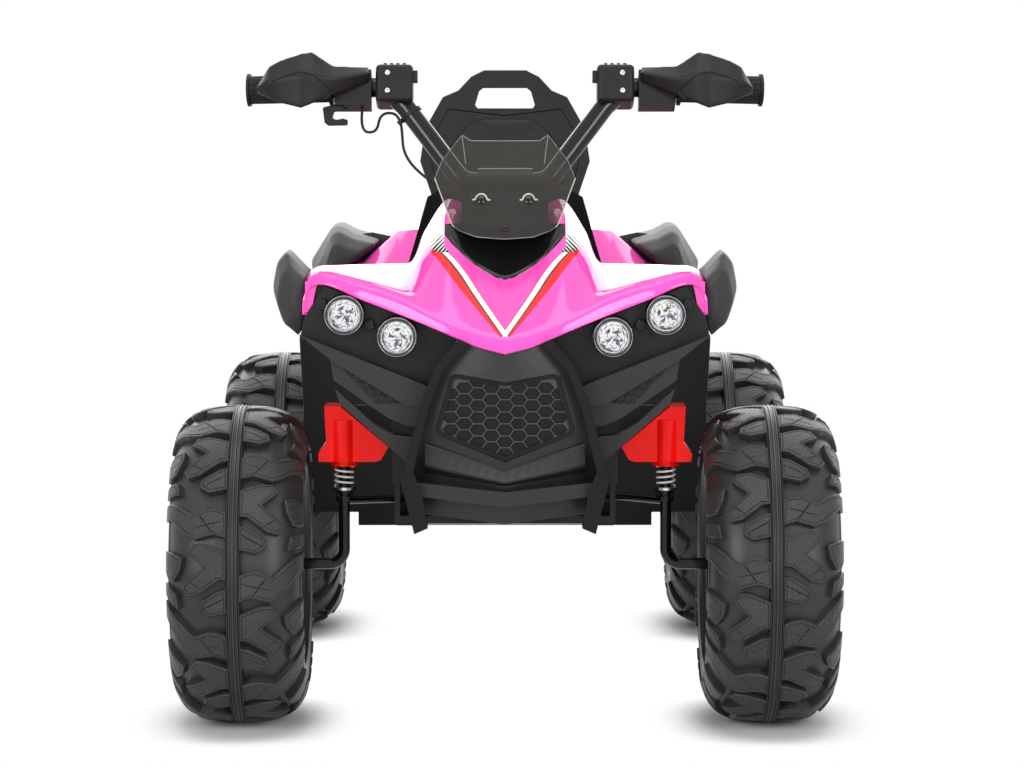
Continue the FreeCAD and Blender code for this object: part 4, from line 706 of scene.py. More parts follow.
def revolved(line, steps, closed=True):
    """Turn a line of (across, radius) points round X into a skin."""
    skin = bmesh.new()
    rings = [[skin.verts.new((across, radius * math.sin(2 * math.pi * k / steps),
                              radius * math.cos(2 * math.pi * k / steps))) for across, radius in line]
             for k in range(steps)]
    joined(skin, rings + rings[:1], ring=closed)
    bmesh.ops.recalc_face_normals(skin, faces=skin.faces)
    return skin


def half_section():
    """Right half of the carcass line: grooved rib, tread base, then side rings down to the bead."""
    top = TYRE_RADIUS
    half = [(0.0009, top), (0.0017, top - GROOVE), (0.0028, top - GROOVE), (0.0035, top), (0.0047, top),
            (0.0053, top - GROOVE), (0.0060, top - 0.0002), (RIB_HALF - 0.0008, top - 0.0008),
            (RIB_HALF + 0.0008, top - 0.0098)]
    for distance in walked[1:]:
        ring = any(low < distance < high for low, high in SIDE_RINGS)
        half.append(tuple(on_section(distance, SIDE_RING if ring else 0.0)))
    return half


half = half_section()
carcass = revolved(half + [(-across, radius) for across, radius in reversed(half)], ROUND_STEPS)
carcass.verts.layers.float_vector.new("flat")
carcass.from_mesh(tread)
tyre_mesh = bpy.data.meshes.new("tyre")
carcass.to_mesh(tyre_mesh)
tyre_mesh.set_sharp_from_angle(angle=math.radians(28))
smoothed(tyre_mesh)
tyre_mesh.materials.clear()
tyre_mesh.materials.append(FINISH["tyre_tread"])
print("faces in a tyre:", len(tyre_mesh.polygons), "flat places:", "flat" in tyre_mesh.attributes)

# %% Four tyres on their wheels
def piece(name, mesh, body, *stands_for, slot=None):
    """Link a finished mesh, attach it to what carries it and hide the solids it stands for."""
    made = linked(name, mesh)
    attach(made, body)
    if stands_for:
        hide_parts(*stands_for)
    return made


# each tyre has stopped at another turn
FIRST_TURN, NEXT_TURN = 0.12, 0.31
for turn, wheel in enumerate(("fl", "fr", "rl", "rr")):
    low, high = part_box("tyre_" + wheel)
    mesh = tyre_mesh.copy()
    around = Matrix.Rotation(math.pi, 4, "Z") @ Matrix.Rotation(FIRST_TURN + NEXT_TURN * turn, 4, "X")
    mesh.transform(Matrix.Translation((Vector(low) + Vector(high)) / 2) @ around)
    piece("treaded_tyre_" + wheel, mesh, "wheel_" + wheel, "tyre_" + wheel, slot="tyre_black")
print("tyres on wheels: 4")

# %% [markdown]
# The hood is glossy pink with a printed V: a red band, a thin black line, a white stripe and a red
# hairline run down each side to the nose, and fade into short hatched bars beside the screen. The
# print is flat on the paint, so it belongs in the paint's colour: a curve gives the stripe's place
# across for each height, and a colour ramp lays the bands on either side of it.

# %% Striped paint of the hood
STRIPE_LOW, STRIPE_HIGH, STRIPE_REACH, STRIPE_WIDE = 0.4255, 0.511, 0.075, 0.014
STRIPE = [(0.0, 0.04), (0.45, 0.44), (0.73, 0.667), (0.906, 0.853), (1.0, 1.0)]
PRINT_WHITE, PRINT_BLACK = (0.92, 0.92, 0.92), (0.012, 0.012, 0.014)
BANDS = [(0.0, None), (0.057, (0.75, 0.02, 0.03)), (0.107, PRINT_WHITE), (0.45, (0.01, 0.01, 0.01)),
         (0.536, (0.80, 0.010, 0.006)), (0.929, None)]
STRIPE_SLANT = 0.8
# the red band widens from the nose up to this height
TAPER_TOP, TAPER = 0.485, (0.4, 1.5)
HATCH_PITCH, HATCH_FOOT = 0.0042, 0.506
HATCH_MIDDLE, HATCH_HALF = -0.002, 0.0065
# the hatched bars thin out with height, as a line through these two values
HATCH_FADE = (110.0, -56.6)
HOOD_FRONT = -0.29


def stripe_offset(tree, across, height):
    """Distance of a point from the stripe's middle line, across it."""
    level = add(tree, "ShaderNodeMapRange", From_Min=STRIPE_LOW, From_Max=STRIPE_HIGH)
    line = add(tree, "ShaderNodeFloatCurve")
    curve = line.mapping.curves[0]
    for place in STRIPE[1:-1]:
        curve.points.new(*place)
    curve.points[0].location = STRIPE[0]
    curve.points[-1].location = STRIPE[-1]
    line.mapping.update()
    wire(tree, (height, level.inputs["Value"]), (level.outputs[0], line.inputs["Value"]))
    middle = maths(tree, "MULTIPLY", line.outputs[0], STRIPE_REACH)
    return maths(tree, "MULTIPLY", maths(tree, "SUBTRACT", across, middle), STRIPE_SLANT)


def printed(tree):
    """Layers of the print: the stripe's bands, a white patch above them, and its hatching."""
    axes = axes_of(tree)
    across, height = maths(tree, "ABSOLUTE", axes["X"]), axes["Z"]
    offset = stripe_offset(tree, across, height)
    ramp = add(tree, "ShaderNodeValToRGB")
    ramp.color_ramp.interpolation = "CONSTANT"
    while len(ramp.color_ramp.elements) < len(BANDS):
        ramp.color_ramp.elements.new(0.5)
    for element, (position, colour) in zip(ramp.color_ramp.elements, BANDS):
        element.position = position
        element.color = (*colour, 1) if colour else (*PINK, 0)
    taper = add(tree, "ShaderNodeMapRange", From_Min=STRIPE_LOW, From_Max=TAPER_TOP, To_Min=TAPER[0],
                To_Max=TAPER[1])
    tree.links.new(height, taper.inputs["Value"])
    outer = maths(tree, "DIVIDE", maths(tree, "MAXIMUM", offset, 0.0), taper.outputs[0])
    across_band = maths(tree, "ADD", outer, maths(tree, "MINIMUM", offset, 0.0))
    tree.links.new(maths(tree, "MULTIPLY_ADD", across_band, 1 / STRIPE_WIDE, 0.5), ramp.inputs[0])
    ahead = maths(tree, "LESS_THAN", axes["Y"], HOOD_FRONT)
    within = maths(tree, "MULTIPLY", maths(tree, "GREATER_THAN", height, STRIPE_LOW - 0.001),
                   maths(tree, "LESS_THAN", height, STRIPE_HIGH - 0.003))
    shown = maths(tree, "MULTIPLY", maths(tree, "MULTIPLY", ramp.outputs["Alpha"], within), ahead)
    slant = maths(tree, "ADD", height, across)
    bars = maths(tree, "SINE", maths(tree, "MULTIPLY", slant, 2 * math.pi / HATCH_PITCH))
    hatch = maths(tree, "GREATER_THAN", bars, maths(tree, "MULTIPLY_ADD", height, *HATCH_FADE))
    patch = maths(tree, "MULTIPLY", maths(tree, "COMPARE", offset, HATCH_MIDDLE, HATCH_HALF),
                  maths(tree, "GREATER_THAN", height, HATCH_FOOT))
    patch = maths(tree, "MULTIPLY", patch, ahead)
    return ((shown, ramp.outputs["Color"]), (patch, PRINT_WHITE),
            (maths(tree, "MULTIPLY", hatch, patch), PRINT_BLACK))


painted(FINISH["hood_paint"], *printed(FINISH["hood_paint"].node_tree))
print("hood print: bands", len(BANDS) - 2)

# %% [markdown]
# The seat is foam under grained vinyl, and the arched pad of the backrest is the same. Foam swells
# between its seams, which a bent block doesn't show. So a copy of each solid is cut into even small
# faces and blown up a little as cloth, with its underside pinned flat where it rests.

# %% Padded seat and back pad
CLOTH_STEPS, CLOTH_PRESSURE = 20, 4.0
RESTING = 0.004
BACK_LEAN = 0.1405


def merged_copy(node):
    """Copy of a solid's mesh with its loose triangles joined."""
    shape = bmesh.new()
    shape.from_mesh(nodes[node].data)
    bmesh.ops.remove_doubles(shape, verts=shape.verts, dist=WELD)
    mesh = bpy.data.meshes.new(node + "_copy")
    shape.to_mesh(mesh)
    shape.free()
    return mesh


def blown(item, rest, resting):
    """Let an object's mesh swell as cloth from its rest places."""
    held = item.vertex_groups.new(name="resting")
    held.add([k for k, place in enumerate(rest) if resting(place)], 1.0, "REPLACE")
    cloth = item.modifiers.new("cloth", "CLOTH")
    cloth.settings.use_pressure = True
    cloth.settings.uniform_pressure_force = CLOTH_PRESSURE
    cloth.settings.vertex_group_mass = "resting"
    cloth.settings.effector_weights.gravity = 0.0
    cloth.point_cache.frame_end = CLOTH_STEPS
    for step in range(1, CLOTH_STEPS + 1):
        scene.frame_set(step)
    item.data = evaluated_mesh(item)
    item.modifiers.clear()
    scene.frame_set(1)


def puffed(node, voxel, cap, resting):
    """Blow a solid up by no more than a cap: resting tells which points stay where they are."""
    item = linked(node + "_foam", merged_copy(node))
    modifier(item, "REMESH", mode="VOXEL", voxel_size=voxel)
    item.data = evaluated_mesh(item)
    item.modifiers.clear()
    rest = [point.co.copy() for point in item.data.vertices]
    blown(item, rest, resting)
    for point, start in zip(item.data.vertices, rest):
        moved = point.co - start
        if moved.length > cap:
            point.co = start + moved.normalized() * cap
    modifier(item, "SMOOTH", factor=0.5, iterations=3)
    modifier(item, "SUBSURF", levels=1, render_levels=1)
    mesh = smoothed(evaluated_mesh(item))
    bpy.data.objects.remove(item)
    mesh.materials.clear()
    mesh.materials.append(FINISH["seat_leather"])
    return mesh


seat_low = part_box("seat")[0]
seat_mesh = puffed("seat", 0.006, 0.006, lambda place: place.z < seat_low[2] + RESTING)
cushion = piece("seat_cushion", seat_mesh, "chassis", "seat", slot="seat_leather")
pad_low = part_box("backrest_pad")[0]
pad_mesh = puffed("backrest_pad", 0.0035, 0.004,
                  lambda place: place.y > pad_low[1] + RESTING + (place.z - pad_low[2]) * BACK_LEAN)
pad = piece("back_cushion", pad_mesh, "chassis", "backrest_pad", slot="seat_leather")
print("cushion faces:", len(seat_mesh.polygons), "pad faces:", len(pad_mesh.polygons))

# %% [markdown]
# Each front wheel rises against a coil spring. The coil is a copy of the spring's solid with its loose
# triangles joined and shaded smooth, set in place of the hidden solid.

# %% Coil springs
for suffix in ("l", "r"):
    low, high = (Vector(corner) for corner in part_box("spring_" + suffix))
    coil = linked("coil_" + suffix, smoothed(merged_copy("spring_" + suffix)))
    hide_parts("spring_" + suffix)
    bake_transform(coil)
print("springs: 2, height", round(high.z - low.z, 4))

# %% [markdown]
# The throttle's thin wire leaves its housing, is tied to the bar and runs down to the column. It is
# one smooth NURBS line whose control points are the route of the solid wire, in the raked plane of
# the handlebar: across, up along the column, and ahead of it.

# %% Throttle wire
HEAD = Vector((0, -0.2, 0.572))
RAKE = math.radians(15)
COLUMN = Vector((0, math.sin(RAKE), math.cos(RAKE)))
BACK = Vector((0, math.cos(RAKE), -math.sin(RAKE)))
WIRE_ROUTE = [(-157, 84, 0), (-160, 58, 0), (-141, 56, 0), (-137.5, 77.5, 0), (-121.8, 79.5, 0),
              (-114.6, 69, 0), (-113, 54, 0), (-112, 38, -2), (-105, 24, -4), (-93, 12, -6), (-78, 1, -8),
              (-62, -8, -8), (-46, -12, -8), (-30, -12, -8)]


def on_bar(across, rise, ahead=0.0):
    """Point of the handlebar's raked plane, from millimetres."""
    return HEAD + Vector((across, 0, 0)) / 1000 + COLUMN * rise / 1000 - BACK * ahead / 1000


def thin_curve(name, kind, runs, radius, sides, finish):
    """Round rod along runs of places, as a curve."""
    curve = bpy.data.curves.new(name, "CURVE")
    curve.dimensions = "3D"
    curve.bevel_depth = radius
    curve.bevel_resolution = sides
    for places in runs:
        spline = curve.splines.new(kind)
        spline.points.add(len(places) - 1)
        for point, place in zip(spline.points, places):
            point.co = (*place, 1)
    curve.materials.append(finish)
    return curve


route = thin_curve("throttle_wire", "NURBS", [[on_bar(*place) for place in WIRE_ROUTE]], 0.0015, 4,
                   FINISH["grip_rubber"])
route.splines[0].order_u = 3
route.splines[0].use_endpoint_u = True
route.resolution_u = 10
route.use_fill_caps = True
wire_piece = piece("throttle_wire", route, "steering", "throttle_cable", slot="grip_rubber")
print("wire points:", len(WIRE_ROUTE))

# %% [markdown]
# The hood's solid is lofted between straight sections, and gloss shows every flat. The real hood is
# one smooth skin with a rolled lip, turned-down ends and a bead along its rim. So the same sections
# are rounded at their corners, joined by curves that never swing past a section, and thickened.

# %% Smooth skin of the hood
# each row: place across, then the section from the rear edge over the front lip to the rim,
# as millimetres ahead of the front axle and up
HOOD_ROWS = [
    (0, (-78, 528), (10, 490), (136, 425), (142, 418), (144, 410)),
    (28, (-82, 540), (0, 507), (132, 432), (139, 425), (140, 417)),
    (60, (-100, 556), (-18, 545), (125, 444), (133, 437), (134, 430)),
    (88, (-104, 520), (-15, 512), (115, 457), (124, 450), (125, 441)),
    (104, (-110, 486), (-20, 491), (105, 467), (118, 459), (120, 447)),
    (150, (-115, 484), (-10, 491), (92, 482), (106, 475), (109, 464)),
    (192, (-115, 482), (-10, 490), (78, 491), (94, 487), (98, 479)),
    (203, (-113, 479), (-10, 487), (73, 488), (87, 483), (91, 474)),
    (208, (-112, 478), (-10, 481), (68, 479), (84, 469), (90, 461)),
    (208.4, (-112, 470), (-10, 467), (58, 450), (78, 440), (90, 447)),
]
CORNER_PARTS = 6
LOBE = [(0.1945, 0.4785), (0.1975, 0.470), (0.1995, 0.460), (0.2010, 0.450), (0.2035, 0.4415)]
LOBE_AHEAD, LOBE_RIM = 0.0905, (0.2052, 0.2083)
AXLE_Y = -0.340


def rolled_section(places):
    """Points down a section with its three corners rounded and a bead at the rim."""
    points = [Vector(place) for place in places]
    line = [points[0]]
    for k, (before, after) in ((1, (0.42, 0.3)), (2, (0.17, 0.42)), (3, (0.42, 0.4))):
        start = points[k].lerp(points[k - 1], before)
        end = points[k].lerp(points[k + 1], after)
        for step in range(CORNER_PARTS + 1):
            t = step / CORNER_PARTS
            line.append(start.lerp(points[k], t).lerp(points[k].lerp(end, t), t))
    rim = points[4]
    return line + [rim, rim + Vector((1.3, -0.4)), rim + Vector((1.7, -1.8)), rim + Vector((0.4, -3.0))]


def eased(knots, track, where):
    """Value on a smooth curve through the knots that never swings past them."""
    rates = [(high - low) / (end - start)
             for start, end, low, high in zip(knots, knots[1:], track, track[1:])]
    slopes = [rates[0]]
    for before, after in zip(rates, rates[1:]):
        slopes.append(2 * before * after / (before + after) if before * after > 0 else 0.0)
    slopes.append(rates[-1])
    k = 0
    while k < len(rates) - 1 and knots[k + 1] < where:
        k += 1
    run = knots[k + 1] - knots[k]
    t = (where - knots[k]) / run
    return ((1 + 2 * t) * (1 - t) ** 2 * track[k] + t * (1 - t) ** 2 * run * slopes[k]
            + t * t * (3 - 2 * t) * track[k + 1] + t * t * (t - 1) * run * slopes[k + 1])


def hood_columns(parts):
    """Columns of points across half of the hood, each stretch between rows cut in parts."""
    rows = [[(row[0], ahead, height) for ahead, height in rolled_section(row[1:])] for row in HOOD_ROWS]
    knots = [0.0]
    for row, after in zip(rows, rows[1:]):
        knots.append(knots[-1] + (Vector(after[8]) - Vector(row[8])).length)
    places = [start + (end - start) * k / parts for start, end in zip(knots, knots[1:]) for k in range(parts)]
    columns = []
    for where in places + [knots[-1]]:
        column = []
        for tracks in zip(*rows):
            x, ahead, height = (eased(knots, track, where) / 1000 for track in zip(*tracks))
            column.append(Vector((x, AXLE_Y - ahead, height)))
        columns.append(column)
    return columns


ROW_PARTS, HOOD_WALL = 7, 0.003
columns = hood_columns(ROW_PARTS)
columns = [[Vector((-place.x, place.y, place.z)) for place in column]
           for column in reversed(columns[1:])] + columns
skin = bmesh.new()
joined(skin, [[skin.verts.new(place) for place in column] for column in columns])
for side in (1, -1):
    joined(skin, [[skin.verts.new((side * x, AXLE_Y - LOBE_AHEAD, height)) for x in (inner, *LOBE_RIM)]
                  for inner, height in LOBE])


def facing_up(skin):
    """Turn all faces of an open skin the same way, with their outside up."""
    bmesh.ops.recalc_face_normals(skin, faces=skin.faces)
    if sum(face.normal.z for face in skin.faces) < 0:
        bmesh.ops.reverse_faces(skin, faces=skin.faces)


facing_up(skin)
shell = linked("hood_shell", bpy.data.meshes.new("hood_shell"))
skin.to_mesh(shell.data)
modifier(shell, "SOLIDIFY", thickness=HOOD_WALL, offset=-1.0)
hood_mesh = smoothed(evaluated_mesh(shell), 48)
bpy.data.objects.remove(shell)
hood_mesh.materials.clear()
hood_mesh.materials.append(FINISH["hood_paint"])
piece("hood_skin", hood_mesh, "chassis", "hood", slot="pink_gloss")
print("hood skin faces:", len(hood_mesh.polygons))

# %% [markdown]
# A glossy black trim lies in the hollow of the hood, before the screen. It follows the hood, so its
# sides tilt toward the bright wall behind and shine, and its middle stays dark. Each column of the
# hood is cut between two heights, lifted a little, and rolled down again along the V of its edge.

# %% Dished trim before the screen
TRIM_HALF, TRIM_TIP, TRIM_TOP, TRIM_LIFT = 0.0645, 0.4785, 0.532, 0.0024
TRIM_RISE, TRIM_CURVE = 0.0465, 1.55
TRIM_ROWS = 12
# drop below the edge, and share of the lift
TRIM_ROLL = ((0.0007, 0.8), (0.0013, 0.4), (0.0016, -0.2))
LIFT_WAY = Vector((0, -0.4, 0.92))


def at_height(column, height):
    """Place on a column of the hood at a height."""
    for before, after in zip(column, column[1:]):
        if before.z >= height > after.z:
            return before.lerp(after, (before.z - height) / (before.z - after.z))
    return column[0].copy()


def trim_column(column):
    """Places of the trim down one column of the hood, lifted and rolled down at the end."""
    edge = TRIM_TIP + TRIM_RISE * (abs(column[0].x) / TRIM_HALF) ** TRIM_CURVE
    spots = [(TRIM_TOP + (edge - TRIM_TOP) * k / (TRIM_ROWS - 1), 1.0) for k in range(TRIM_ROWS)]
    spots += [(edge - drop, share) for drop, share in TRIM_ROLL]
    return [at_height(column, height) + LIFT_WAY * TRIM_LIFT * share for height, share in spots]


trim = bmesh.new()
joined(trim, [[trim.verts.new(place) for place in trim_column(column)]
              for column in columns if abs(column[0].x) < TRIM_HALF])
facing_up(trim)
trim_mesh = smoothed(mesh_of("trim", trim, FINISH["black_gloss"]))
piece("trim_skin", trim_mesh, "chassis", "hood_trim", slot="black_gloss")
print("trim faces:", len(trim_mesh.polygons))

# %% [markdown]
# Behind the hood a black cover swells over the column, wider at its foot than the solid, and its
# flanks show on both sides of the screen. Five sections of it are joined by the same smooth curves.

# %% Swelling cover behind the hood
# each row: place along, then the section from the middle of the top down to the foot
COVER_ROWS = [
    (-186, (0, 538), (40, 537), (62, 530), (78, 510), (90, 480), (98, 450), (102, 425), (102.5, 402)),
    (-150, (0, 555), (45, 554), (72, 549), (88, 530), (100, 497), (110, 462), (114.5, 430), (115.5, 402)),
    (-118, (0, 560.5), (45, 560), (76, 559), (86.8, 553), (100.5, 505), (108.5, 478), (116, 435), (117, 402)),
    (-88, (0, 525), (45, 523), (70, 516), (85, 500), (98, 475), (107, 450), (112.5, 425), (113.5, 402)),
    (-60, (0, 478), (30, 476), (50, 470), (68, 458), (82, 444), (92, 430), (98, 415), (99, 402)),
]
COVER_STEPS = 24


def cover_ring(along):
    """Closed outline of the cover at a place along."""
    knots = [row[0] for row in COVER_ROWS]
    half = [tuple(eased(knots, track, along) for track in zip(*places))
            for places in zip(*(row[1:] for row in COVER_ROWS))]
    ring = [(-x, z) for x, z in reversed(half[1:])] + half
    return [Vector((x, along, z)) / 1000 for x, z in ring]


swell = bmesh.new()
start, end = COVER_ROWS[0][0], COVER_ROWS[-1][0]
rings = [[swell.verts.new(place) for place in cover_ring(start + (end - start) * k / COVER_STEPS)]
         for k in range(COVER_STEPS + 1)]
joined(swell, rings, ring=True)
for ring in (rings[0], rings[-1]):
    swell.faces.new(ring)
bmesh.ops.recalc_face_normals(swell, faces=swell.faces)
swell_mesh = smoothed(mesh_of("tank_shell", swell, FINISH["pod_black"]), 50)
piece("tank_shell", swell_mesh, "chassis", "tank_cover", slot=slot_of["tank_cover"])
print("cover faces:", len(swell_mesh.polygons))

# %% [markdown]
# The mask's wings carry a triangle pressed with small hexagons, and the floors of the lamp wells behind
# the wings are painted near black, a painted shade of their recess. Both depend only on where a point lies,
# so they belong in the mask's finish. The hexagon pattern is a group of its own: it folds the plane into two
# lattices and keeps the nearer one.

# %% Finish of the mask
HEX_CELL = (1.0, math.sqrt(3), 1.0)
HEX_HALF = tuple(side / 2 for side in HEX_CELL)
HEX_SHIFT = (200.0, 200.0 * math.sqrt(3), 0.0)
INSERT = [(0.1718, 0.393), (0.1335, 0.3515), (0.1035, 0.3536)]
PANEL_Y, WELL_Y, NET_Y = -0.450, -0.4323, -0.470
FACE_REACH, NET_REACH = 0.0008, 0.0005


def vectors(tree, operation, *values):
    """One sum on vectors or sockets, returned as a socket."""
    return maths(tree, operation, *values, kind="ShaderNodeVectorMath")


def hex_lines():
    """Mask of the lines between hexagons on the upright plane."""
    tree, given, out = new_group("hex_lines", {"Scale": 140.0, "Width": 0.1}, ["Mask"])
    axes = axes_of(tree)
    flat = add(tree, "ShaderNodeCombineXYZ")
    scaled = add(tree, "ShaderNodeVectorMath", operation="SCALE")
    wire(tree, (axes["X"], flat.inputs["X"]), (axes["Z"], flat.inputs["Y"]),
         (flat.outputs[0], scaled.inputs[0]), (given["Scale"], scaled.inputs["Scale"]))
    moved = vectors(tree, "ADD", scaled.outputs[0], HEX_SHIFT)
    lattices = [vectors(tree, "SUBTRACT", vectors(tree, "MODULO", place, HEX_CELL), HEX_HALF)
                for place in (moved, vectors(tree, "ADD", moved, HEX_HALF))]
    nearer = maths(tree, "LESS_THAN", *(vectors(tree, "LENGTH", vectors(tree, "MULTIPLY", lattice, (1, 1, 0)))
                                        for lattice in lattices))
    pick = add(tree, "ShaderNodeMix", data_type="VECTOR")
    wire(tree, (nearer, pick.inputs[0]), (lattices[1], pick.inputs[4]), (lattices[0], pick.inputs[5]))
    folded = vectors(tree, "ABSOLUTE", pick.outputs[1])
    slanted = vectors(tree, "DOT_PRODUCT", folded, (0.5, math.sqrt(3) / 2, 0))
    level = vectors(tree, "DOT_PRODUCT", folded, (1, 0, 0))
    line = add(tree, "ShaderNodeMapRange", interpolation_type="SMOOTHSTEP", From_Max=0.5)
    wire(tree, (maths(tree, "MAXIMUM", slanted, level), line.inputs["Value"]),
         (maths(tree, "SUBTRACT", 0.5, given["Width"]), line.inputs["From Min"]),
         (line.outputs[0], out["Mask"]))
    return tree


def inside(tree, across, height, corners):
    """Mask of a triangle on the upright plane, its corners given clockwise."""
    mask = 1.0
    for (x, z), (next_x, next_z) in zip(corners, corners[1:] + corners[:1]):
        rise = maths(tree, "MULTIPLY", maths(tree, "SUBTRACT", height, z), next_x - x)
        run = maths(tree, "MULTIPLY", maths(tree, "SUBTRACT", across, x), next_z - z)
        mask = maths(tree, "MULTIPLY", maths(tree, "LESS_THAN", rise, run), mask)
    return mask


tree = FINISH["mask_black"].node_tree
axes = axes_of(tree)
triangle = inside(tree, maths(tree, "ABSOLUTE", axes["X"]), axes["Z"], INSERT)
triangle = maths(tree, "MULTIPLY", triangle, maths(tree, "COMPARE", axes["Y"], PANEL_Y, FACE_REACH))
cells = add(tree, "ShaderNodeGroup", node_tree=hex_lines(), Scale=128.0, Width=0.12)
lines = maths(tree, "MULTIPLY", cells.outputs["Mask"], triangle)
# painted shade: the floor of each lamp well is coloured near black for the shade in its recess
painted_well_shade = maths(tree, "COMPARE", axes["Y"], WELL_Y, FACE_REACH)
painted(FINISH["mask_black"], (painted_well_shade, (0.0012, 0.0012, 0.0013)), (triangle, (0.003, 0.003, 0.0032)),
        (lines, (0.02, 0.02, 0.021)))
pressed(FINISH["mask_black"], lines, 0.7, 0.0012)
# painted light: the net's front face is painted lighter than its pockets, a painted highlight on the face over
# painted shade in the pockets
net_tree = FINISH["grille_net"].node_tree
net_face_highlight = maths(net_tree, "COMPARE", axes_of(net_tree)["Y"], NET_Y, NET_REACH)
painted(FINISH["grille_net"], (net_face_highlight, (0.055, 0.055, 0.054)))
print("mask nodes:", len(tree.nodes))

# %% [markdown]
# Small mouldings finish the black parts: the sloping ledge under the grille, the top of the mask that
# runs up behind the hood's rim, the web between each rear flare and the body, the panel round the
# back pad, and the raised line on each hand guard. The line is a rod laid on the guard itself.

# %% Ledge, webs and back panel
LEDGE_HALF, LEDGE_PARTS = 0.083, 8
# share of the way from the ledge's top to its foot, and how far it stands out there
LEDGE_ROWS = ((1.35, -0.001), (1.0, 0.0086), (0.88, 0.0090), (0.12, 0.0022), (0.0, 0.0))
TOP_BAND = [(0.080, 0.425), (0.206, 0.437), (0.2063, 0.476), (0.196, 0.481), (0.150, 0.4735), (0.104, 0.457),
            (0.080, 0.447)]
WEB = [(0.133, 0.486), (0.148, 0.466), (0.170, 0.452), (0.206, 0.452), (0.190, 0.488), (0.162, 0.492)]
PANEL = [(0, 0.5404), (0.0836, 0.5483), (0.0916, 0.578), (0.0856, 0.6118), (0.0698, 0.6396), (0, 0.6316)]
TOP_BAND_Y, WEB_Y = (-0.4262, -0.4246), (0.278, 0.282)
PANEL_FOOT, PANEL_LEAN = (0.3183, 0.3303), 0.14054
# heights at the middle, and how much they rise for each metre across
LEDGE_TOP, LEDGE_FOOT = (0.2856, 0.334), (0.272, 0.195)
CHIN_Y, CHIN_Z, CHIN_SWEEP, CHIN_SLOPE = -0.474, 0.29, 0.215, 0.4


def mask_front(across, height):
    """Place of the mask's face under the grille."""
    return CHIN_Y + CHIN_SWEEP * abs(across) + CHIN_SLOPE * (CHIN_Z - height)


def ledge_place(across, share, out):
    """Place on the ledge, between its top and its foot."""
    top, foot = (middle + rise * abs(across) for middle, rise in (LEDGE_TOP, LEDGE_FOOT))
    height = top + (foot - top) * share
    return across, mask_front(across, height) - out, height


def slab(name, outline, front, rear, finish):
    """Closed plate with an outline across and up, between two places along Y."""
    block = bmesh.new()
    ends = [[block.verts.new((x, y, z)) for x, z in outline] for y in (front, rear)]
    for end in ends:
        block.faces.new(end)
    joined(block, ends, ring=True)
    bmesh.ops.recalc_face_normals(block, faces=block.faces)
    return mesh_of(name, block, finish)


ledge = bmesh.new()
joined(ledge, [[ledge.verts.new(ledge_place(LEDGE_HALF * k / LEDGE_PARTS, share, out))
                for k in range(-LEDGE_PARTS, LEDGE_PARTS + 1)] for share, out in LEDGE_ROWS])
piece("chin_ledge", mesh_of("chin_ledge", ledge, FINISH["mask_black"]), "chassis")
for suffix, side in (("l", 1), ("r", -1)):
    band, web = ([(side * x, z) for x, z in outline] for outline in (TOP_BAND, WEB))
    piece("mask_top_" + suffix, slab("mask_top", band, *TOP_BAND_Y, FINISH["black_satin"]), "chassis")
    piece("flare_web_" + suffix, slab("flare_web", web, *WEB_Y, FINISH["flare_black"]), "chassis")
panel = bmesh.new()
panel.faces.new([panel.verts.new((x, PANEL_FOOT[0] + (z - PANEL_FOOT[1]) * PANEL_LEAN, z))
                 for x, z in PANEL + [(-x, z) for x, z in reversed(PANEL[1:-1])]])
piece("back_panel", mesh_of("back_panel", panel, FINISH["black_satin"]), "chassis")
print("small mouldings: 6")

# %% Raised line on the hand guards
RIDGE = [(255, 683), (246, 687.5), (238, 690.5), (226, 694), (214, 693), (206, 688.5), (198, 681), (189, 672.5),
         (193, 667), (201, 662.5), (210, 659)]


def laid_on(node, places):
    """Places carried back along Y onto a solid."""
    solid = BVHTree.FromObject(nodes[node], bpy.context.evaluated_depsgraph_get())
    hits = [solid.ray_cast(Vector((x, -1.0, z)), Vector((0, 1, 0)))[0] for x, z in places]
    return [place for place in hits if place]


def bright_line(name, runs, radius, finish):
    """Thin rod along runs of places, as one mesh."""
    carrier = linked(name, thin_curve(name, "POLY", runs, radius, 2, finish))
    mesh = smoothed(evaluated_mesh(carrier))
    bpy.data.objects.remove(carrier)
    return mesh


def divided(places, step):
    """Places with more set evenly between, so that a line follows a bent sheet."""
    line = []
    for (x, z), (next_x, next_z) in zip(places, places[1:]):
        count = max(1, int(math.hypot(next_x - x, next_z - z) / step))
        line += [(x + (next_x - x) * k / count, z + (next_z - z) * k / count) for k in range(count)]
    return line + [places[-1]]


runs = [laid_on(node, [(side * x / 1000, z / 1000) for x, z in divided(RIDGE, 3)])
        for node, side in (("hand_guard_l", 1), ("hand_guard_r", -1))]
piece("guard_ridges", bright_line("guard_ridges", runs, 0.0014, FINISH["black_satin"]), "steering")
print("ridge points:", [len(places) for places in runs])

# %% [markdown]
# The thumb lever is a hooked moulding: a web that narrows downward from its pivot, and a foot for the
# thumb that turns back toward the middle. It is one plate with its outline and rounded edges.

# %% Thumb lever
LEVER = [(-0.2005, 0.654), (-0.1775, 0.6605), (-0.177, 0.651), (-0.188, 0.649), (-0.190, 0.6425), (-0.186, 0.6405),
         (-0.1785, 0.642), (-0.173, 0.6405), (-0.1733, 0.6345), (-0.194, 0.634), (-0.1985, 0.6375)]
LEVER_Y = (-0.187, -0.173)
thumb = piece("thumb_lever", slab("thumb_lever", LEVER, *LEVER_Y, FINISH["black_satin"]), "throttle",
              "throttle_lever", slot=slot_of["throttle_lever"])
soften(thumb, PLAIN_EDGE)
print("lever corners:", len(LEVER))

# %% [markdown]
# Screws, lamps and clips repeat, so each is drawn once. A second Geometry Nodes tree sets copies out:
# every point of a carrier mesh holds where its copy faces, its turn about that line, and its size.

# %% Tree that sets copies out on points
POINT_VALUES = {"facing": "FLOAT_VECTOR", "roll": "FLOAT", "size": "FLOAT"}


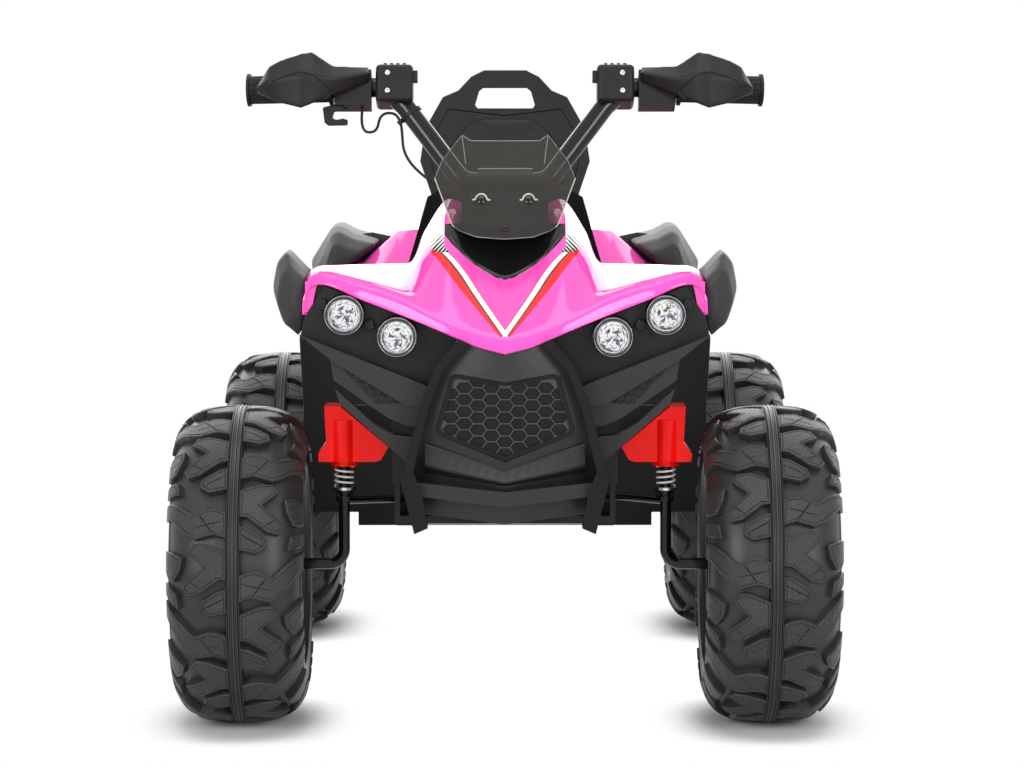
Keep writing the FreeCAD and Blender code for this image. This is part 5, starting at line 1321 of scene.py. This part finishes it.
def set_out():
    """Copies of a shape on points, each faced, rolled and sized by the point's own values."""
    tree, given, out = new_tree("set_out", {"Shape": "Object", "Finish": "Material"})
    shape = add(tree, "GeometryNodeObjectInfo")
    aligned = add(tree, "FunctionNodeAlignRotationToVector", axis="Z")
    rolled = add(tree, "FunctionNodeAxisAngleToRotation")
    turned = add(tree, "FunctionNodeRotateRotation", rotation_space="LOCAL")
    copies = add(tree, "GeometryNodeInstanceOnPoints")
    held = {name: add(tree, "GeometryNodeInputNamedAttribute", data_type=kind, Name=name).outputs["Attribute"]
            for name, kind in POINT_VALUES.items()}
    wire(tree, (given["Shape"], shape.inputs["Object"]), (held["facing"], aligned.inputs["Vector"]),
         (held["roll"], rolled.inputs["Angle"]), (held["size"], copies.inputs["Scale"]),
         (aligned.outputs[0], turned.inputs["Rotation"]), (rolled.outputs[0], turned.inputs["Rotate By"]),
         (given["Geometry"], copies.inputs["Points"]), (shape.outputs["Geometry"], copies.inputs["Instance"]),
         (turned.outputs[0], copies.inputs["Rotation"]))
    closing(tree, given, out, copies.outputs[0])
    return tree


SET_OUT = set_out()


def copies_of(skin, spots, finish):
    """Mesh of a shape's copies; each spot is a place, a facing, a roll and a size."""
    shape = linked("shape", bpy.data.meshes.new("shape"))
    skin.to_mesh(shape.data)
    carrier = bpy.data.meshes.new("spots")
    carrier.from_pydata([spot[0] for spot in spots], [], [])
    for slot, (name, kind) in enumerate(POINT_VALUES.items()):
        layer = carrier.attributes.new(name, kind, "POINT")
        for item, spot in zip(layer.data, spots):
            setattr(item, "vector" if kind == "FLOAT_VECTOR" else "value", spot[slot + 1])
    result = grown(carrier, SET_OUT, Shape=shape, Finish=finish)
    bpy.data.objects.remove(shape)
    return result


def lathed(line, steps, closed=True):
    """Turn (height, radius) points about Z into a smooth skin."""
    skin = revolved(line, steps, closed)
    bmesh.ops.rotate(skin, verts=skin.verts, matrix=Matrix.Rotation(-math.pi / 2, 3, "Y"))
    for face in skin.faces:
        face.smooth = True
    return skin


print("trees:", ", ".join(group.name for group in bpy.data.node_groups if group.type == "GEOMETRY"))

# %% [markdown]
# Each headlamp is a double chrome ring, a bowl pressed in small flat facets, a yellow chip in its
# middle and a domed clear cover. The facets must stay flat, because they throw the bright and dark
# patches that make a lamp read as a lamp. A few facets are laid in darker metal: a painted reflection of the dark
# well.

# %% Headlamps
LAMPS = [(0.167, -0.454, 0.445), (0.112, -0.464, 0.423)]
AHEAD = Vector((0, -1, 0))
lamp_spots = [(Vector((side * x, y, z)), AHEAD, side * 0.4 + x * 9, 1.0)
              for side in (1, -1) for x, y, z in LAMPS]
BEZEL = [(-0.026, 0.0208), (-0.001, 0.0208), (0.0009, 0.0204), (0.0014, 0.0198), (0.0008, 0.0192),
         (-0.0042, 0.0189), (-0.0042, 0.0179), (0.0003, 0.0176), (0.0008, 0.0171), (0.0002, 0.0164),
         (-0.0016, 0.0160), (-0.004, 0.0158), (-0.026, 0.0158)]
COVER = [(-0.002, 0.0162), (0.0, 0.0162), (0.0016, 0.0115), (0.0027, 0.006), (0.0031, 0.0002),
         (0.0021, 0.0002), (0.0017, 0.006), (0.0006, 0.0115), (-0.001, 0.0152), (-0.002, 0.0152)]
CHIP = [(-0.0150, 0.0014), (-0.0142, 0.0014), (-0.0138, 0.0010), (-0.0137, 0.0001)]
SEGMENTS, RINGS, BOWL = 12, 4, 0.0158
RIM_DEPTH, DISH_DEPTH, FACET_PRESS = 0.0045, 0.0125, 0.0005


def bowl_point(ring, segment):
    """Corner of a facet: a round dish with each corner pressed a little in or out."""
    radius = BOWL * (1 - ring / (RINGS + 0.6))
    angle = 2 * math.pi * (segment + 0.5 * (ring % 2)) / SEGMENTS
    depth = RIM_DEPTH + DISH_DEPTH * (1 - (radius / BOWL) ** 2)
    depth += FACET_PRESS * math.sin(3.1 * ring + 5.3 * (segment % SEGMENTS)) * (0 < ring < RINGS)
    return Vector((radius * math.cos(angle), radius * math.sin(angle), -depth))


def facets(wanted, lift):
    """Flat facets of the bowl that are wanted, lifted by a little."""
    skin = bmesh.new()
    for ring in range(RINGS):
        for segment in range(SEGMENTS):
            if wanted(ring, segment):
                corners = [bowl_point(ring, segment), bowl_point(ring, segment + 1),
                           bowl_point(ring + 1, segment + 1), bowl_point(ring + 1, segment)]
                skin.faces.new([skin.verts.new(place + Vector((0, 0, lift))) for place in corners])
    return skin


def painted_reflection_facet(ring, segment):
    """Facets laid in darker metal, a painted reflection of the dark well."""
    return ring == 2 and segment % 3 == 1


piece("lamp_bezels", copies_of(lathed(BEZEL, 72), lamp_spots, FINISH["lamp_ring"]), "chassis", "lamp_rims",
      slot="lamp_chrome")
piece("lamp_bowls", copies_of(facets(lambda ring, segment: True, 0.0), lamp_spots, FINISH["lamp_chrome"]),
      "chassis", "lamp_reflectors", slot="lamp_chrome")
covers = piece("lamp_covers", copies_of(lathed(COVER, 48), lamp_spots, FINISH["lamp_clear"]), "chassis",
               "lamp_lenses", slot="lamp_clear")
covers.visible_shadow = False
# painted reflection: a few bowl facets are laid in darker metal for the dark well they would mirror
piece("lamp_dark_facets", copies_of(facets(painted_reflection_facet, 0.0002), lamp_spots, FINISH["painted_reflection_chrome"]), "chassis")
piece("lamp_chips", copies_of(lathed(CHIP, 20, closed=False), lamp_spots, FINISH["lamp_chip"]), "chassis")
print("lamps:", len(lamp_spots), "facets each:", SEGMENTS * RINGS)

# %% Clips beside the lamps
def rounded_block(wide, deep, tall, edge):
    """Block about the origin with rounded edges."""
    block = bmesh.new()
    bmesh.ops.create_cube(block, size=1.0)
    bmesh.ops.scale(block, verts=block.verts, vec=(wide, deep, tall))
    bmesh.ops.bevel(block, geom=block.edges[:], offset=edge, segments=2, profile=0.5, affect="EDGES")
    return block


CLIPS = [(0.190, -0.437, 0.455), (0.141, -0.437, 0.434)]
clip_spots = [(Vector((side * x, y, z)), Vector((side * 0.35, 0, 1)), 0.0, 1.0)
              for side in (1, -1) for x, y, z in CLIPS]
piece("lamp_clips", copies_of(rounded_block(0.0095, 0.011, 0.0105, 0.0012), clip_spots, FINISH["black_satin"]),
      "chassis")
print("clips:", len(clip_spots))

# %% [markdown]
# The edges of a smoked sheet pipe light and shine pale, and its two pegs show as dark dots with a
# bright crescent. Thin pale rods, a painted highlight, follow the sheet's outline, its two creases and the
# crescents; the pegs are lathed.

# %% Edge and pegs of the screen
SHEET_NORMAL = Vector((0, -122, 66)).normalized()
BRIGHT_SIDE = [(54, 531), (56, 533), (75, 581)]
FAINT_EDGES = [[(0, 519), (30, 521), (48, 527), (54, 531)], [(75, 581), (67, 600), (46, 627), (37, 621), (0, 621)]]
CREASE = [(46, 626), (44, 612), (42, 597)]
SCREEN_Y, SCREEN_Z, SCREEN_BOW, SCREEN_RAKE = -0.362, 0.516, 3.77, 0.541
PEG_PLACE, ARCH, ARCH_FOOT = (0.0252, 0.5595), 0.0062, 0.0096
PEG = [(-0.007, 0.0052), (0.0004, 0.0052), (0.0011, 0.0046), (0.0012, 0.0001)]


def on_screen(across, height):
    """Place on the front of the screen, from metres across and up."""
    along = SCREEN_Y + SCREEN_BOW * across ** 2 + SCREEN_RAKE * (height - SCREEN_Z)
    return Vector((across, along, height))


def on_both(*lines):
    """Each line on both halves of the screen, from millimetres across and up."""
    return [[on_screen(side * x / 1000, z / 1000) for x, z in divided(places, 5)]
            for places in lines for side in (1, -1)]


# pale rods along the screen's edges and creases: a painted highlight
lines = {"screen_edge": (on_both(BRIGHT_SIDE), 0.0008, FINISH["screen_edge"]),
         "screen_creases": (on_both(CREASE), 0.00045, FINISH["screen_edge"]),
         "screen_faint_edges": (on_both(*FAINT_EDGES), 0.0006, FINISH["screen_faint_highlight"])}
for name, (runs, radius, finish) in lines.items():
    piece(name, bright_line(name, runs, radius, finish), "chassis")
peg_spots = [(on_screen(side * PEG_PLACE[0], PEG_PLACE[1]), SHEET_NORMAL, 0.0, 1.0) for side in (1, -1)]
piece("screen_pegs", copies_of(lathed(PEG, 28, closed=False), peg_spots, FINISH["black_gloss"]), "chassis")
# pale arch round each peg: a painted highlight of its bright crescent
arch = [(ARCH * math.cos(math.pi * k / 12), ARCH * math.sin(math.pi * k / 12)) for k in range(13)]
arches = [[on_screen(side * PEG_PLACE[0] + x, PEG_PLACE[1] + z) for x, z in places] for side in (1, -1)
          for places in (arch, [(ARCH, 0.0), (ARCH_FOOT, 0.0)], [(-ARCH, 0.0), (-ARCH_FOOT, 0.0)])]
piece("peg_arches", bright_line("peg_arches", arches, 0.0009, FINISH["screen_edge"]), "chassis")
print("lines on the screen:", len(lines))

# %% Screws
SCREW_HEAD = [(-0.2, 1.0), (0.25, 1.0), (0.38, 0.92), (0.47, 0.8), (0.53, 0.66), (0.56, 0.56), (0.58, 0.46),
              (0.59, 0.34), (0.6, 0.22), (0.6, 0.12), (0.6, 0.01)]
CROSS_HALF, CROSS_REACH, CROSS_DEPTH = 0.15, 0.6, 0.34
BOX_ACROSS, BOX_MIDDLE, BOX_FRONT = 129, 108, 23


def cross_screw():
    """Pan head of radius one with a crossed recess."""
    head = lathed(SCREW_HEAD, 48, closed=False)
    for point in head.verts:
        narrow = min(abs(point.co.x), abs(point.co.y))
        if narrow < CROSS_HALF and point.co.xy.length < CROSS_REACH:
            point.co.z -= CROSS_DEPTH
    return head


cover_screws = [(on_bar(side * BOX_ACROSS, BOX_MIDDLE + rise, BOX_FRONT), -BACK, 0.3 * side + rise, 0.0031)
                for side in (1, -1) for rise in (10.5, -9.5)]
screen_screw = [(on_screen(0.0, 0.5296), SHEET_NORMAL, 0.5, 0.0034)]
piece("cover_screws", copies_of(cross_screw(), cover_screws, FINISH["axle_steel"]), "steering")
piece("screen_screw", copies_of(cross_screw(), screen_screw, FINISH["black_gloss"]), "chassis")
print("screws:", len(cover_screws) + len(screen_screw))
